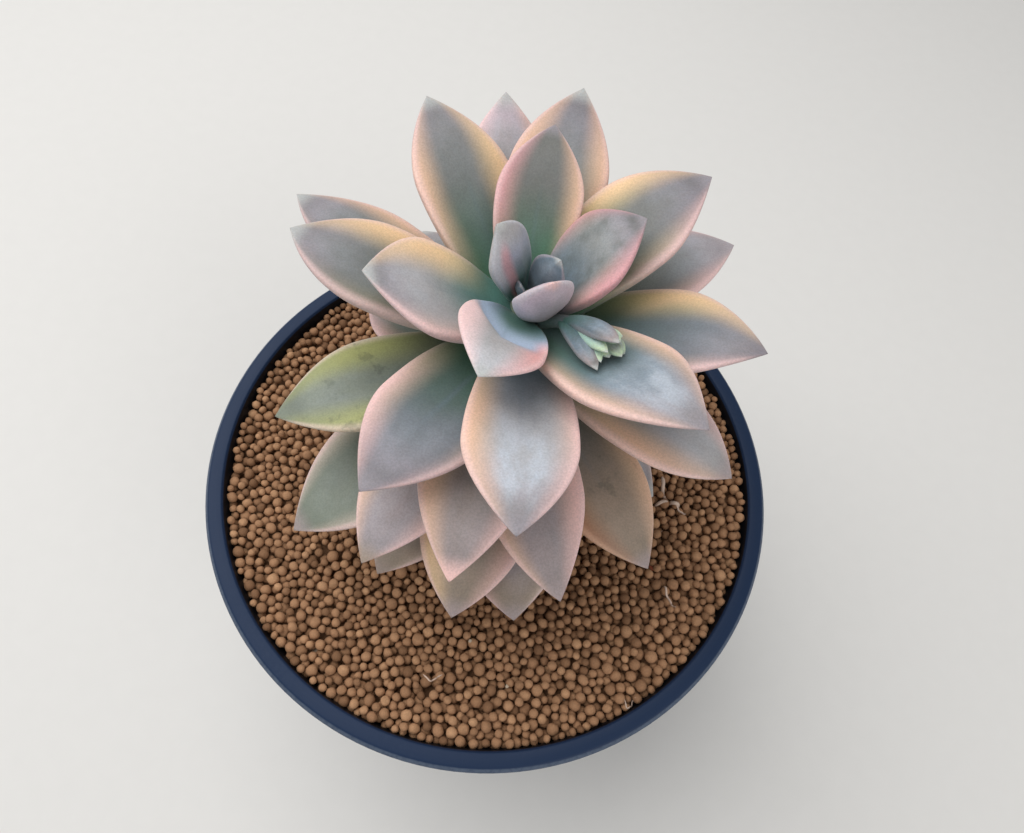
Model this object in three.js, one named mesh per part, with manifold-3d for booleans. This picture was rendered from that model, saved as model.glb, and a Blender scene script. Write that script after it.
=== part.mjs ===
// A ghost plant (Graptopetalum paraguayense) standing in a round plastic nursery pot.
// Millimetres, +Z up. The origin is the centre of the pot's flat base.
import * as THREE from 'three';
import { mergeVertices } from 'three/addons/utils/BufferGeometryUtils.js';
import Module from 'manifold-3d';

const wasm = await Module();
wasm.setup();

// ---- Driving dimensions -------------------------------------------------------------------

// Gap left between pieces that touch, and the wider one where a piece is cut clear of another.
const GAP = 0.3;
const CUT_GAP = GAP + 0.1;

// Vertices nearer than this are one vertex.
const MERGE_DISTANCE = 1e-4;

// Pot: outer radius of the rim, height, radius of the foot and thickness of the wall.
const RIM_RADIUS = 85;
const POT_HEIGHT = 125;
const FOOT_RADIUS = 60;
const WALL = 1.6;
const POT_SIDES = 44;

// Rim: a flat band with eased edges, and a skirt that hangs from it and tapers inwards.
const RIM_BAND = 5.2;
const RIM_EASE = 0.6;
const RIM_EASE_HEIGHT = 1;
const SKIRT_HEIGHT = 14;
const SKIRT_WALL = 1.5;
const SKIRT_TAPER_OUTSIDE = 0.8;
const SKIRT_TAPER_INSIDE = 0.6;

// Floor: its top, the recess under it between a centre pad and a foot ring, and its corners.
const FLOOR_TOP = 4;
const FLOOR_RECESS = 2;
const CENTRE_PAD_RADIUS = 20;
const FOOT_RING_INNER = 52;
const RECESS_SLOPE = 1;
const FOOT_EASE = 1;
const FOOT_EASE_HEIGHT = 1.5;
const FLOOR_FILLET = 3;

// Drainage holes on a circle in the recess of the floor.
const HOLE_COUNT = 8;
const HOLE_RADIUS = 4.5;
const HOLE_CIRCLE = 36;
const HOLE_SIDES = 12;
const HOLE_CUT_LENGTH = 4 * FLOOR_TOP;

// Soil: how far its surface lies below the rim, and its distance from the wall, measured level.
const SOIL_DROP = 3.5;
const SOIL_SIDE_GAP = 1.4 * GAP;
const SOIL_FLOOR_INSET = FLOOR_FILLET + 0.4;

// Rootstock: its depth, how much thinner than the stem it starts, and its tip.
const ROOTSTOCK_DEPTH = 34;
const ROOTSTOCK_INSET = 1;
const ROOTSTOCK_TIP_RADIUS = 2.5;
const ROOTSTOCK_OVERLAP = 1;

// Main roots: they leave the rootstock one below the other, and dip by an angle in radians.
const ROOT_COUNT = 5;
const ROOT_LENGTH = 40;
const ROOT_RADIUS = 2;
const ROOT_TIP_RADIUS = 0.8;
const ROOT_SIDES = 8;
const ROOT_DIP = 0.6;
const ROOT_TURN = 0.4;
const ROOT_FIRST_LEVEL = 0.35;
const ROOT_LEVEL_STEP = 0.1;

// Stem: where it meets the rootstock in the soil and where it ends in the growing point, heights
// above the rim.
const STEM_FOOT_DEPTH = 10;
const STEM_FOOT = [0, 2, -STEM_FOOT_DEPTH];
const STEM_TOP = [3, 20, 64];

// Stem radius at heights above the rim, from the rootstock to the blunt growing point.
const STEM_PROFILE = [[-STEM_FOOT_DEPTH, 7.5], [0, 6.5], [45, 6], [56, 5], [61, 3.2], [64, 1.2]];
const STEM_SIDES = 16;
const STEM_SUNK = 3;
const STEM_CAP = 0.8;

// Leaf outline: where along its length it is widest, the neck's share of that width, and how
// bluntly it narrows to the tip.
const WIDEST_AT = 0.6;
const NECK = 0.42;
const TIP_POWER = 1.9;

// Leaf thickness: its share of the width, the neck's share of it, where along the leaf it is
// full, and the two powers by which it thins to the tip.
const THICKNESS = 0.3;
const NECK_THICKNESS = 0.72;
const FULL_THICKNESS_AT = 0.4;
const THIN_LATE = 3.2;
const THIN_POWER = 0.75;

// Leaf section: the upper side's share of the thickness, and how full each side is.
const UPPER_SHARE = 0.3;
const UPPER_FULLNESS = 0.6;
const LOWER_FULLNESS = 0.9;

// Dish in the upper side: its share of the width, and where it starts, levels off and ends.
const DISH = 0.1;
const DISH_START = 0.2;
const DISH_FADE_FROM = 0.45;
const DISH_FADE_LENGTH = 0.45;

// Leaf base: how much of its length is rounded, and how deep it sits in the stem.
const END_ROUNDING = 0.05;
const BASE_SEAT = 0.7;
const LEAF_AROUND = 10;
const LEAF_ALONG = 9;

// A vertex of a unit sphere this near its axis is a pole: the blade's base or its tip.
const POLE_RING = 1e-6;

// Leaves from the growing point outwards. tip is x, y and the height above the rim; stem is the
// height above the rim where the leaf leaves the stem; width is the widest place; arch lifts the
// middle of the leaf, sway shifts it sideways, roll turns the blade about its midrib in degrees,
// and facing is the compass direction of the leaf's back, where it isn't simply that of its tip.
// thick, neck, widest and tipPower replace the usual leaf form's values on the leaves that differ.
const LEAVES = [
  { tip: [1, 17, 70], stem: 63.5, width: 5, facing: -150, thick: 0.5 },
  { tip: [-6, 22, 84], stem: 61, width: 14, sway: 1, facing: 150, thick: 0.42 },
  { tip: [9, 19, 79], stem: 62, width: 10, facing: 50, thick: 0.4 },
  { tip: [8, 8, 85], stem: 60.5, width: 14, facing: -60, thick: 0.5 },
  { tip: [-4, -17, 85], stem: 58.5, width: 23, arch: 4, sway: -2, facing: -125, tipPower: 1.6 },
  { tip: [27, 32, 82], stem: 59, width: 24, arch: 2 },
  { tip: [-33, 7, 80], stem: 57, width: 29, arch: 2, sway: -1, roll: 8 },
  { tip: [3, 59, 80], stem: 57, width: 22, arch: 2, sway: -1 },
  { tip: [8, -45, 77], stem: 53, width: 25, arch: 4, widest: 0.66, neck: 0.25 },
  { tip: [43, -18, 80], stem: 56, width: 28, arch: 4, sway: 2, neck: 0.3 },
  { tip: [-30, 64, 78], stem: 54, width: 27, arch: 3 },
  { tip: [43, 53, 77], stem: 54, width: 29, arch: 3, sway: -2 },
  { tip: [-25, -37, 65], stem: 51.5, width: 28, arch: 4, sway: -1 },
  { tip: [-55, 23, 70], stem: 53.5, width: 30, arch: 2, sway: -2, tipPower: 2.2 },
  { tip: [59, 9, 70], stem: 49.5, width: 31, arch: 4, sway: -2 },
  { tip: [9, 83, 72], stem: 49, width: 27, arch: 2, sway: -1 },
  { tip: [-4, -50, 54], stem: 48.5, width: 25, arch: 4, sway: 1 },
  { tip: [57, -15, 52], stem: 46.5, width: 27, arch: 4 },
  { tip: [21, -48, 44], stem: 45, width: 24, arch: 4, sway: 3 },
  { tip: [-63, 47, 54], stem: 45.5, width: 26, arch: 3, sway: -1 },
  { tip: [-12, 84, 66], stem: 44, width: 27, arch: -1 },
  { tip: [-53, -15, 46], stem: 44.5, width: 28, arch: 4, sway: -1 },
  { tip: [57, 55, 52], stem: 43, width: 28, arch: 4, sway: -3, tipPower: 2.2 },
  { tip: [-25, -46, 42], stem: 41, width: 25, arch: 3, sway: 1 },
  { tip: [42, -35, 36], stem: 41, width: 26, arch: 4, sway: 1 },
  { tip: [-3, -53, 32], stem: 37, width: 27, arch: 4, tipPower: 2.2 },
  { tip: [-47, -36, 24], stem: 34, width: 30, arch: 4 },
  { tip: [44, -13, 28], stem: 33, width: 24, arch: 3 },
  { tip: [12, -50, 25], stem: 31.5, width: 28, arch: 4, sway: 1, tipPower: 2.2 },
  { tip: [-24, -43, 21], stem: 28, width: 26, arch: 3 },
  { tip: [-31, 56, 36], stem: 38, width: 25, arch: 4 },
  { tip: [22, 63, 34], stem: 36, width: 26, arch: 4 },
  { tip: [50, 28, 26], stem: 31.5, width: 26, arch: 4 },
  { tip: [-44, 38, 22], stem: 30, width: 26, arch: 4 },
  { tip: [-7, 58, 18], stem: 24.5, width: 25, arch: 4 },
  { tip: [-46, 4, 14], stem: 22.5, width: 25, arch: 4 },
];

// Young flower stalk: its route, heights above the rim, and its radius at both ends.
const STALK_ROUTE = [[6, 14, 59], [11, 11, 70], [20, 4.5, 74]];
const STALK_RADIUS = 1.6;
const STALK_STEPS = 8;
const STALK_SIDES = 8;

// Bracts and buds on the stalk: at is the place along the stalk, from 0 to 1.
const BRACTS = [
  { at: 0.45, tip: [20, -6, 76], width: 4.6, arch: 1 },
  { at: 0.5, tip: [23.5, -1, 80], width: 6, arch: 1 },
  { at: 0.8, tip: [22.5, -1.5, 74.5], width: 5, arch: 0.6 },
  { at: 0.95, tip: [26, 1, 73], width: 4, arch: 0.6 },
];
const BUDS = [
  { at: 1, tip: [23.5, 2.5, 77.5], width: 3.4 },
  { at: 1, tip: [25, 4.5, 74.5], width: 3 },
];
const BRACT_THICKNESS = 0.5;
const BRACT_AROUND = 8;
const BRACT_ALONG = 6;

// ---- Materials ----------------------------------------------------------------------------

function plastic() {
  return new THREE.MeshStandardMaterial({ color: 0x2b3a52, roughness: 0.45, metalness: 0 });
}

function clay() {
  return new THREE.MeshStandardMaterial({ color: 0x8a6848, roughness: 0.9, metalness: 0 });
}

function leafSkin() {
  return new THREE.MeshStandardMaterial({ color: 0xb3b0ab, roughness: 0.7, metalness: 0 });
}

function bractSkin() {
  return new THREE.MeshStandardMaterial({ color: 0x9fb3a4, roughness: 0.7, metalness: 0 });
}

function stemBark() {
  return new THREE.MeshStandardMaterial({ color: 0x9a8f78, roughness: 0.8, metalness: 0 });
}

// ---- Solids -------------------------------------------------------------------------------

function toSolid(geometry) {
  const bare = geometry.clone();
  bare.deleteAttribute('normal');
  bare.deleteAttribute('uv');
  const merged = mergeVertices(bare, MERGE_DISTANCE);
  const vertProperties = new Float32Array(merged.attributes.position.array);
  const triVerts = new Uint32Array(merged.index.array);
  return new wasm.Manifold(new wasm.Mesh({ numProp: 3, vertProperties, triVerts }));
}

function toGeometry(solid) {
  const mesh = solid.getMesh();
  const geometry = new THREE.BufferGeometry();
  geometry.setAttribute('position', new THREE.BufferAttribute(new Float32Array(mesh.vertProperties), 3));
  geometry.setIndex(new THREE.BufferAttribute(new Uint32Array(mesh.triVerts), 1));
  geometry.computeVertexNormals();
  return geometry;
}

function namedMesh(name, geometry, material) {
  const mesh = new THREE.Mesh(geometry, material);
  mesh.name = name;
  return mesh;
}

// A turned solid about the Z axis; the profile holds [radius, height] from axis to axis.
function turned(profile, sides) {
  const points = profile.map(([radius, height]) => new THREE.Vector2(radius, height));
  const geometry = new THREE.LatheGeometry(points, sides);
  geometry.rotateX(Math.PI / 2);
  return geometry;
}

function aboveRim([x, y, height]) {
  return new THREE.Vector3(x, y, POT_HEIGHT + height);
}

function smoothStep(value) {
  const t = Math.min(Math.max(value, 0), 1);
  return t * t * (3 - 2 * t);
}

// ---- Pot ----------------------------------------------------------------------------------

const innerRimRadius = RIM_RADIUS - RIM_BAND;
const innerFootRadius = FOOT_RADIUS - WALL;
const filletTop = FLOOR_TOP + FLOOR_FILLET;

// Inner radius of the pot's wall at a height above its base.
function innerRadiusAt(height) {
  const share = (height - FLOOR_TOP) / (POT_HEIGHT - FLOOR_TOP);
  return innerFootRadius + share * (innerRimRadius - innerFootRadius);
}

function potProfile() {
  const skirtFoot = POT_HEIGHT - SKIRT_HEIGHT;
  const flangeUnder = POT_HEIGHT - WALL;
  const rimEase = POT_HEIGHT - RIM_EASE_HEIGHT;
  return [
    [0, 0],
    [CENTRE_PAD_RADIUS, 0],
    [CENTRE_PAD_RADIUS + RECESS_SLOPE, FLOOR_RECESS],
    [FOOT_RING_INNER - RECESS_SLOPE, FLOOR_RECESS],
    [FOOT_RING_INNER, 0],
    [FOOT_RADIUS - FOOT_EASE, 0],
    [FOOT_RADIUS, FOOT_EASE_HEIGHT],
    [innerRadiusAt(flangeUnder) + WALL, flangeUnder],
    [RIM_RADIUS - SKIRT_WALL, flangeUnder],
    [RIM_RADIUS - SKIRT_WALL - SKIRT_TAPER_INSIDE, skirtFoot],
    [RIM_RADIUS - SKIRT_TAPER_OUTSIDE, skirtFoot],
    [RIM_RADIUS, rimEase],
    [RIM_RADIUS - RIM_EASE, POT_HEIGHT],
    [innerRimRadius + RIM_EASE, POT_HEIGHT],
    [innerRadiusAt(rimEase), rimEase],
    [innerRadiusAt(filletTop), filletTop],
    [innerFootRadius - FLOOR_FILLET, FLOOR_TOP],
    [0, FLOOR_TOP],
  ];
}

function drainageHole(index) {
  const angle = (index / HOLE_COUNT) * 2 * Math.PI;
  const geometry = new THREE.CylinderGeometry(HOLE_RADIUS, HOLE_RADIUS, HOLE_CUT_LENGTH, HOLE_SIDES);
  geometry.rotateX(Math.PI / 2);
  geometry.translate(HOLE_CIRCLE * Math.cos(angle), HOLE_CIRCLE * Math.sin(angle), 0);
  return toSolid(geometry);
}

function potGeometry() {
  let pot = toSolid(turned(potProfile(), POT_SIDES));
  for (let index = 0; index < HOLE_COUNT; index += 1) {
    pot = pot.subtract(drainageHole(index));
  }
  return toGeometry(pot);
}

// ---- Stem with its roots ------------------------------------------------------------------

const stemFoot = aboveRim(STEM_FOOT);
const stemTop = aboveRim(STEM_TOP);
const stemAxis = stemTop.clone().sub(stemFoot).normalize();

function stemPoint(height) {
  const share = (height + STEM_FOOT_DEPTH) / (STEM_TOP[2] + STEM_FOOT_DEPTH);
  return stemFoot.clone().lerp(stemTop, share);
}

function stemRadius(height) {
  const last = STEM_PROFILE.length - 1;
  for (let index = 0; index < last; index += 1) {
    const [lower, lowerRadius] = STEM_PROFILE[index];
    const [upper, upperRadius] = STEM_PROFILE[index + 1];
    if (height <= upper) {
      return lowerRadius + ((height - lower) / (upper - lower)) * (upperRadius - lowerRadius);
    }
  }
  return STEM_PROFILE[last][1];
}

// The part above the rootstock: a round profile turned about +Z, then leant along the stem's axis.
function shootSolid(grow) {
  const length = stemTop.distanceTo(stemFoot);
  const perHeight = length / (STEM_TOP[2] + STEM_FOOT_DEPTH);
  const profile = STEM_PROFILE.map(
    ([height, radius]) => [radius + grow, (height + STEM_FOOT_DEPTH) * perHeight],
  );
  const foot = -STEM_SUNK - grow;
  profile.unshift([0, foot], [STEM_PROFILE[0][1] + grow, foot]);
  profile.push([0, length + STEM_CAP + grow]);
  const geometry = turned(profile, STEM_SIDES);
  const upright = new THREE.Vector3(0, 0, 1);
  geometry.applyQuaternion(new THREE.Quaternion().setFromUnitVectors(upright, stemAxis));
  geometry.translate(stemFoot.x, stemFoot.y, stemFoot.z);
  return toSolid(geometry);
}

// The buried part: a tapered rootstock with a few main roots spreading down from it.
function rootSolid(grow) {
  const radius = STEM_PROFILE[0][1] - ROOTSTOCK_INSET + grow;
  const tipRadius = ROOTSTOCK_TIP_RADIUS + grow;
  const length = ROOTSTOCK_DEPTH + ROOTSTOCK_OVERLAP + grow;
  const stock = new THREE.CylinderGeometry(radius, tipRadius, length, STEM_SIDES);
  stock.rotateX(Math.PI / 2);
  stock.translate(stemFoot.x, stemFoot.y, stemFoot.z + ROOTSTOCK_OVERLAP - length / 2);
  let roots = toSolid(stock);
  for (let index = 0; index < ROOT_COUNT; index += 1) {
    const turn = (index / ROOT_COUNT) * 2 * Math.PI + ROOT_TURN;
    const reach = ROOT_LENGTH + grow;
    const root = new THREE.CylinderGeometry(ROOT_TIP_RADIUS + grow, ROOT_RADIUS + grow, reach, ROOT_SIDES);
    root.translate(0, reach / 2, 0);
    root.rotateZ(-Math.PI / 2 - ROOT_DIP);
    root.rotateX(Math.PI / 2);
    root.rotateZ(turn);
    const level = ROOTSTOCK_DEPTH * (ROOT_FIRST_LEVEL + ROOT_LEVEL_STEP * index);
    root.translate(stemFoot.x, stemFoot.y, stemFoot.z - level);
    roots = roots.add(toSolid(root));
  }
  return roots;
}

function stemSolid(grow) {
  return shootSolid(grow).add(rootSolid(grow));
}

// ---- Soil ---------------------------------------------------------------------------------

function soilGeometry() {
  const top = POT_HEIGHT - SOIL_DROP;
  const floor = FLOOR_TOP + GAP;
  const profile = [
    [0, floor],
    [innerFootRadius - SOIL_FLOOR_INSET, floor],
    [innerRadiusAt(filletTop) - SOIL_SIDE_GAP, filletTop],
    [innerRadiusAt(top) - SOIL_SIDE_GAP, top],
    [0, top],
  ];
  return toGeometry(toSolid(turned(profile, POT_SIDES)).subtract(stemSolid(GAP)));
}

// ---- Leaves -------------------------------------------------------------------------------

// Half width of the blade at a share of its length, from the neck to the pointed tip.
function widthAt(share, { neck = NECK, widest = WIDEST_AT, tipPower = TIP_POWER }) {
  if (share < widest) {
    return neck + (1 - neck) * Math.sin((Math.PI / 2) * (share / widest));
  }
  return 1 - ((share - widest) / (1 - widest)) ** tipPower;
}

function thicknessAt(share) {
  const filled = smoothStep(share / FULL_THICKNESS_AT);
  const fromNeck = NECK_THICKNESS + (1 - NECK_THICKNESS) * filled;
  return fromNeck * Math.max(1 - share ** THIN_LATE, 0) ** THIN_POWER;
}

function roundedEnd(share) {
  const inside = 1 - Math.min(share / END_ROUNDING, 1);
  return Math.sqrt(Math.max(1 - inside * inside, 0));
}

// The blade's frame: a curved midrib from base to tip, the sideways and the upward direction.
function midrib(base, tip, outward, axis, blade) {
  const across = new THREE.Vector3().crossVectors(outward, axis);
  const chord = tip.clone().sub(base).normalize();
  across.addScaledVector(chord, -across.dot(chord)).normalize();
  const upward = new THREE.Vector3().crossVectors(across, chord);
  const middle = base.clone().add(tip).multiplyScalar(0.5);
  middle.addScaledVector(upward, 2 * (blade.arch ?? 0));
  middle.addScaledVector(across, 2 * (blade.sway ?? 0));
  const curve = new THREE.QuadraticBezierCurve3(base, middle, tip);
  return { curve, across };
}

// A fleshy blade: a sphere drawn out along the midrib, flat and slightly dished on top, rounded
// below, with a narrow neck and a pointed tip. grow makes it larger all round.
function bladeGeometry(base, tip, outward, axis, blade, around, along, grow) {
  const thickness = blade.width * (blade.thick ?? THICKNESS);
  const roll = THREE.MathUtils.degToRad(blade.roll ?? 0);
  const { curve, across } = midrib(base, tip, outward, axis, blade);
  const geometry = new THREE.SphereGeometry(1, around, along);
  const place = geometry.attributes.position;
  for (let index = 0; index < place.count; index += 1) {
    const polar = Math.acos(THREE.MathUtils.clamp(place.getY(index), -1, 1));
    const share = ((1 - Math.cos(polar)) / 2 + polar / Math.PI) / 2;
    const ring = Math.hypot(place.getX(index), place.getZ(index));
    const onRing = ring > POLE_RING;
    const u = onRing ? place.getX(index) / ring : 0;
    const v = onRing ? -place.getZ(index) / ring : 0;
    const tangent = curve.getTangent(share);
    const side = across.clone().addScaledVector(tangent, -across.dot(tangent)).normalize();
    const up = new THREE.Vector3().crossVectors(side, tangent);
    const rolledSide = side.clone().multiplyScalar(Math.cos(roll));
    rolledSide.addScaledVector(up, Math.sin(roll));
    const rolledUp = up.multiplyScalar(Math.cos(roll)).addScaledVector(side, -Math.sin(roll));
    const end = roundedEnd(share);
    const halfWidth = (blade.width / 2) * widthAt(share, blade) * end;
    const depth = thickness * thicknessAt(share) * end;
    const dishAlong = smoothStep(share / DISH_START)
      * (1 - smoothStep((share - DISH_FADE_FROM) / DISH_FADE_LENGTH));
    const dish = DISH * blade.width * thicknessAt(share) * end * dishAlong;
    const rise = v > 0
      ? UPPER_SHARE * depth * v ** UPPER_FULLNESS - dish * (1 - u * u)
      : -(1 - UPPER_SHARE) * depth * (-v) ** LOWER_FULLNESS;
    const point = curve.getPoint(share);
    point.addScaledVector(rolledSide, u * (halfWidth + grow * end));
    point.addScaledVector(rolledUp, rise + v * grow * end);
    if (!onRing && share > WIDEST_AT) {
      point.addScaledVector(tangent, grow);
    }
    place.setXYZ(index, point.x, point.y, point.z);
  }
  return geometry;
}

function leafSolid(leaf, grow) {
  const tip = aboveRim(leaf.tip);
  const root = stemPoint(leaf.stem);
  const outward = tip.clone().sub(root);
  if (leaf.facing !== undefined) {
    const angle = THREE.MathUtils.degToRad(leaf.facing);
    outward.set(Math.cos(angle), Math.sin(angle), 0);
  }
  outward.addScaledVector(stemAxis, -outward.dot(stemAxis)).normalize();
  const base = root.clone().addScaledVector(outward, stemRadius(leaf.stem) * BASE_SEAT);
  return toSolid(bladeGeometry(base, tip, outward, stemAxis, leaf, LEAF_AROUND, LEAF_ALONG, grow));
}

// ---- Flower stalk, bracts and buds ----------------------------------------------------------

const stalkCurve = new THREE.QuadraticBezierCurve3(...STALK_ROUTE.map(aboveRim));

function stalkSolid(grow) {
  const section = new THREE.Shape();
  section.absarc(0, 0, STALK_RADIUS + grow, 0, 2 * Math.PI, false);
  const geometry = new THREE.ExtrudeGeometry(section, {
    steps: STALK_STEPS,
    curveSegments: STALK_SIDES / 2,
    extrudePath: stalkCurve,
    bevelEnabled: false,
  });
  return toSolid(geometry);
}

function bractSolid(bract, grow) {
  const base = stalkCurve.getPoint(bract.at);
  const tip = aboveRim(bract.tip);
  const axis = new THREE.Vector3(0, 0, 1);
  const outward = tip.clone().sub(base);
  outward.addScaledVector(axis, -outward.dot(axis)).normalize();
  const blade = { thick: BRACT_THICKNESS, ...bract };
  return toSolid(bladeGeometry(base, tip, outward, axis, blade, BRACT_AROUND, BRACT_ALONG, grow));
}

// ---- Assembly -----------------------------------------------------------------------------

// Each piece is cut where the pieces placed before it, grown by the gap, would press into it.
function clearOf(solid, placed) {
  let cleared = solid;
  for (const make of placed) {
    const grown = make(CUT_GAP);
    if (cleared.intersect(grown).volume() > 0) {
      cleared = cleared.subtract(grown);
    }
  }
  return cleared;
}

function number(index) {
  return String(index + 1).padStart(2, '0');
}

function plant() {
  const group = new THREE.Group();
  const placed = [stemSolid];
  const put = (name, make, material) => {
    group.add(namedMesh(name, toGeometry(clearOf(make(0), placed)), material));
    placed.push(make);
  };
  group.add(namedMesh('stem', toGeometry(stemSolid(0)), stemBark()));
  put('flower_stalk', stalkSolid, bractSkin());
  BRACTS.forEach((bract, index) => {
    put(`bract_${number(index)}`, (grow) => bractSolid(bract, grow), bractSkin());
  });
  BUDS.forEach((bud, index) => {
    put(`flower_bud_${number(index)}`, (grow) => bractSolid(bud, grow), bractSkin());
  });
  LEAVES.forEach((leaf, index) => {
    put(`leaf_${number(index)}`, (grow) => leafSolid(leaf, grow), leafSkin());
  });
  return group;
}

const model = new THREE.Group();
model.add(namedMesh('pot', potGeometry(), plastic()));
model.add(namedMesh('soil', soilGeometry(), clay()));
model.add(plant());

export default model;
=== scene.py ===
"""Models a ghost plant in its nursery pot, piece by piece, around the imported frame."""

import math
import random
from functools import partial

import bmesh
import bpy
from bpy.props import FloatProperty, FloatVectorProperty, IntProperty, PointerProperty
from mathutils import Matrix, Vector, noise


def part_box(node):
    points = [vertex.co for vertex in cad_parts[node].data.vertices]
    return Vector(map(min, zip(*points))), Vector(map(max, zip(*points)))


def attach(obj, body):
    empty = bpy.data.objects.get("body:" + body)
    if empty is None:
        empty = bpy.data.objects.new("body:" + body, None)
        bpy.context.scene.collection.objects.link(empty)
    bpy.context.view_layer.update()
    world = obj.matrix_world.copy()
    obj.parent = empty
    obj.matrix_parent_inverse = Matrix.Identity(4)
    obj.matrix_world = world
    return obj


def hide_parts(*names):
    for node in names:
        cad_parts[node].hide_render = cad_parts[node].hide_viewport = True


bl_info = {
    "name": "Ghost Plant",
    "version": (1, 0, 0),
    "blender": (4, 5, 0),
    "location": "3D View > Sidebar > Ghost Plant",
    "description": "Models a rosette succulent with its stem, flower stalk, clay pellets and pot",
    "category": "Object",
}

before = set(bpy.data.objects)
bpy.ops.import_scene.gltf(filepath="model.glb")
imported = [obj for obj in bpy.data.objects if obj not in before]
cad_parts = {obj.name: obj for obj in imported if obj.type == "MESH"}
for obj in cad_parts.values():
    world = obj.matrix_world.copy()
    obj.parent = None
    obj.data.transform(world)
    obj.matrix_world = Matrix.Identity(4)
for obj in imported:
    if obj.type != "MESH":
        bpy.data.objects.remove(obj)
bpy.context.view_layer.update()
_, pot_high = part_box("pot")
_, soil_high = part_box("soil")

BODY = "root"
MM = 0.001
TURN = 2 * math.pi

# ---- Measures, in millimetres, with the plant's heights above the pot's rim ----

# Points closer than WELD are one point, and heights closer than LEVEL are one height.
WELD = 0.001
LEVEL = 0.01

# Stem and roots. The roots leave the rootstock at levels that are shares of its depth; their
# dip and turn are angles in radians.
STEM_FOOT = (0, 2, -10)
STEM_TOP = (3, 20, 64)
STEM_PROFILE = ((-10, 7.5), (0, 6.5), (45, 6), (56, 5), (61, 3.2), (64, 1.2))
STEM_SUNK = 3
ROOTSTOCK_DEPTH = 34
ROOT_COUNT = 5
ROOT_LENGTH = 40
ROOT_DIP = 0.6
ROOT_TURN = 0.4
ROOT_FIRST_LEVEL = 0.35
ROOT_LEVEL_STEP = 0.1

# The stem's blending grid, the space and height of its leaf scars, and its bark's unevenness.
STEM_GRID = 0.9
SCAR_SPACE = 3.2
SCAR_HEIGHT = 0.18
BARK_HEIGHT = 0.25

# Leaf outline, thickness and section, as shares of the leaf's length, width or thickness.
WIDEST_AT = 0.6
NECK = 0.42
TIP_POWER = 1.9
THICKNESS = 0.3
NECK_THICKNESS = 0.72
FULL_THICKNESS_AT = 0.4
THIN_LATE = 3.2
THIN_POWER = 0.75
UPPER_SHARE = 0.3
UPPER_FULLNESS = 0.6
LOWER_FULLNESS = 0.9
DISH = 0.1
DISH_START = 0.2
DISH_FADE_FROM = 0.45
DISH_FADE_LENGTH = 0.45
END_ROUNDING = 0.05
BASE_SEAT = 0.7
BRACT_THICKNESS = 0.72
EDGE_WAVE = 0.035
FACE_WAVE = 0.05
RIDGE_FULL_AT = 0.4
KEEL = 0.6
KEEL_FROM = 0.45
KEEL_LENGTH = 0.45
FACET_DEPTH = 0.35
FACET_END = 0.7
FACET_SLANT = 0.3
FACET_STEP = 0.14

# Pellets, in millimetres. A pellet rolls by a share of its radius for a number of rounds, and
# at their height the stem is a little behind its foot. When as many pellets in a row as
# PELLET_PATIENCE find no place, the heap is full.
PELLET_RISE = 1.9
PELLET_WALL_GAP = 0.15
PELLET_EDGE_RISE = 0.5
ROLL_STEP = 0.6
ROLL_ROUNDS = 6
PELLET_STEM_SHIFT = 2
PELLET_PATIENCE = 300

# How much narrower or wider than a round one a pellet may be along its three axes.
PELLET_SPREADS = ((0.88, 1.04), (0.88, 1.04), (0.94, 1.1))

# The rounds of the pot's rim inside, its floor's corner and its other edges, in millimetres,
# and the angles from which an edge is rounded and is shown as a crease.
RIM_ROUNDING = 0.8
FLOOR_FILLET = 3
POT_ROUND = 0.25
POT_ROUNDED_FROM = math.radians(24)
POT_CREASE = math.radians(35)

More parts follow.
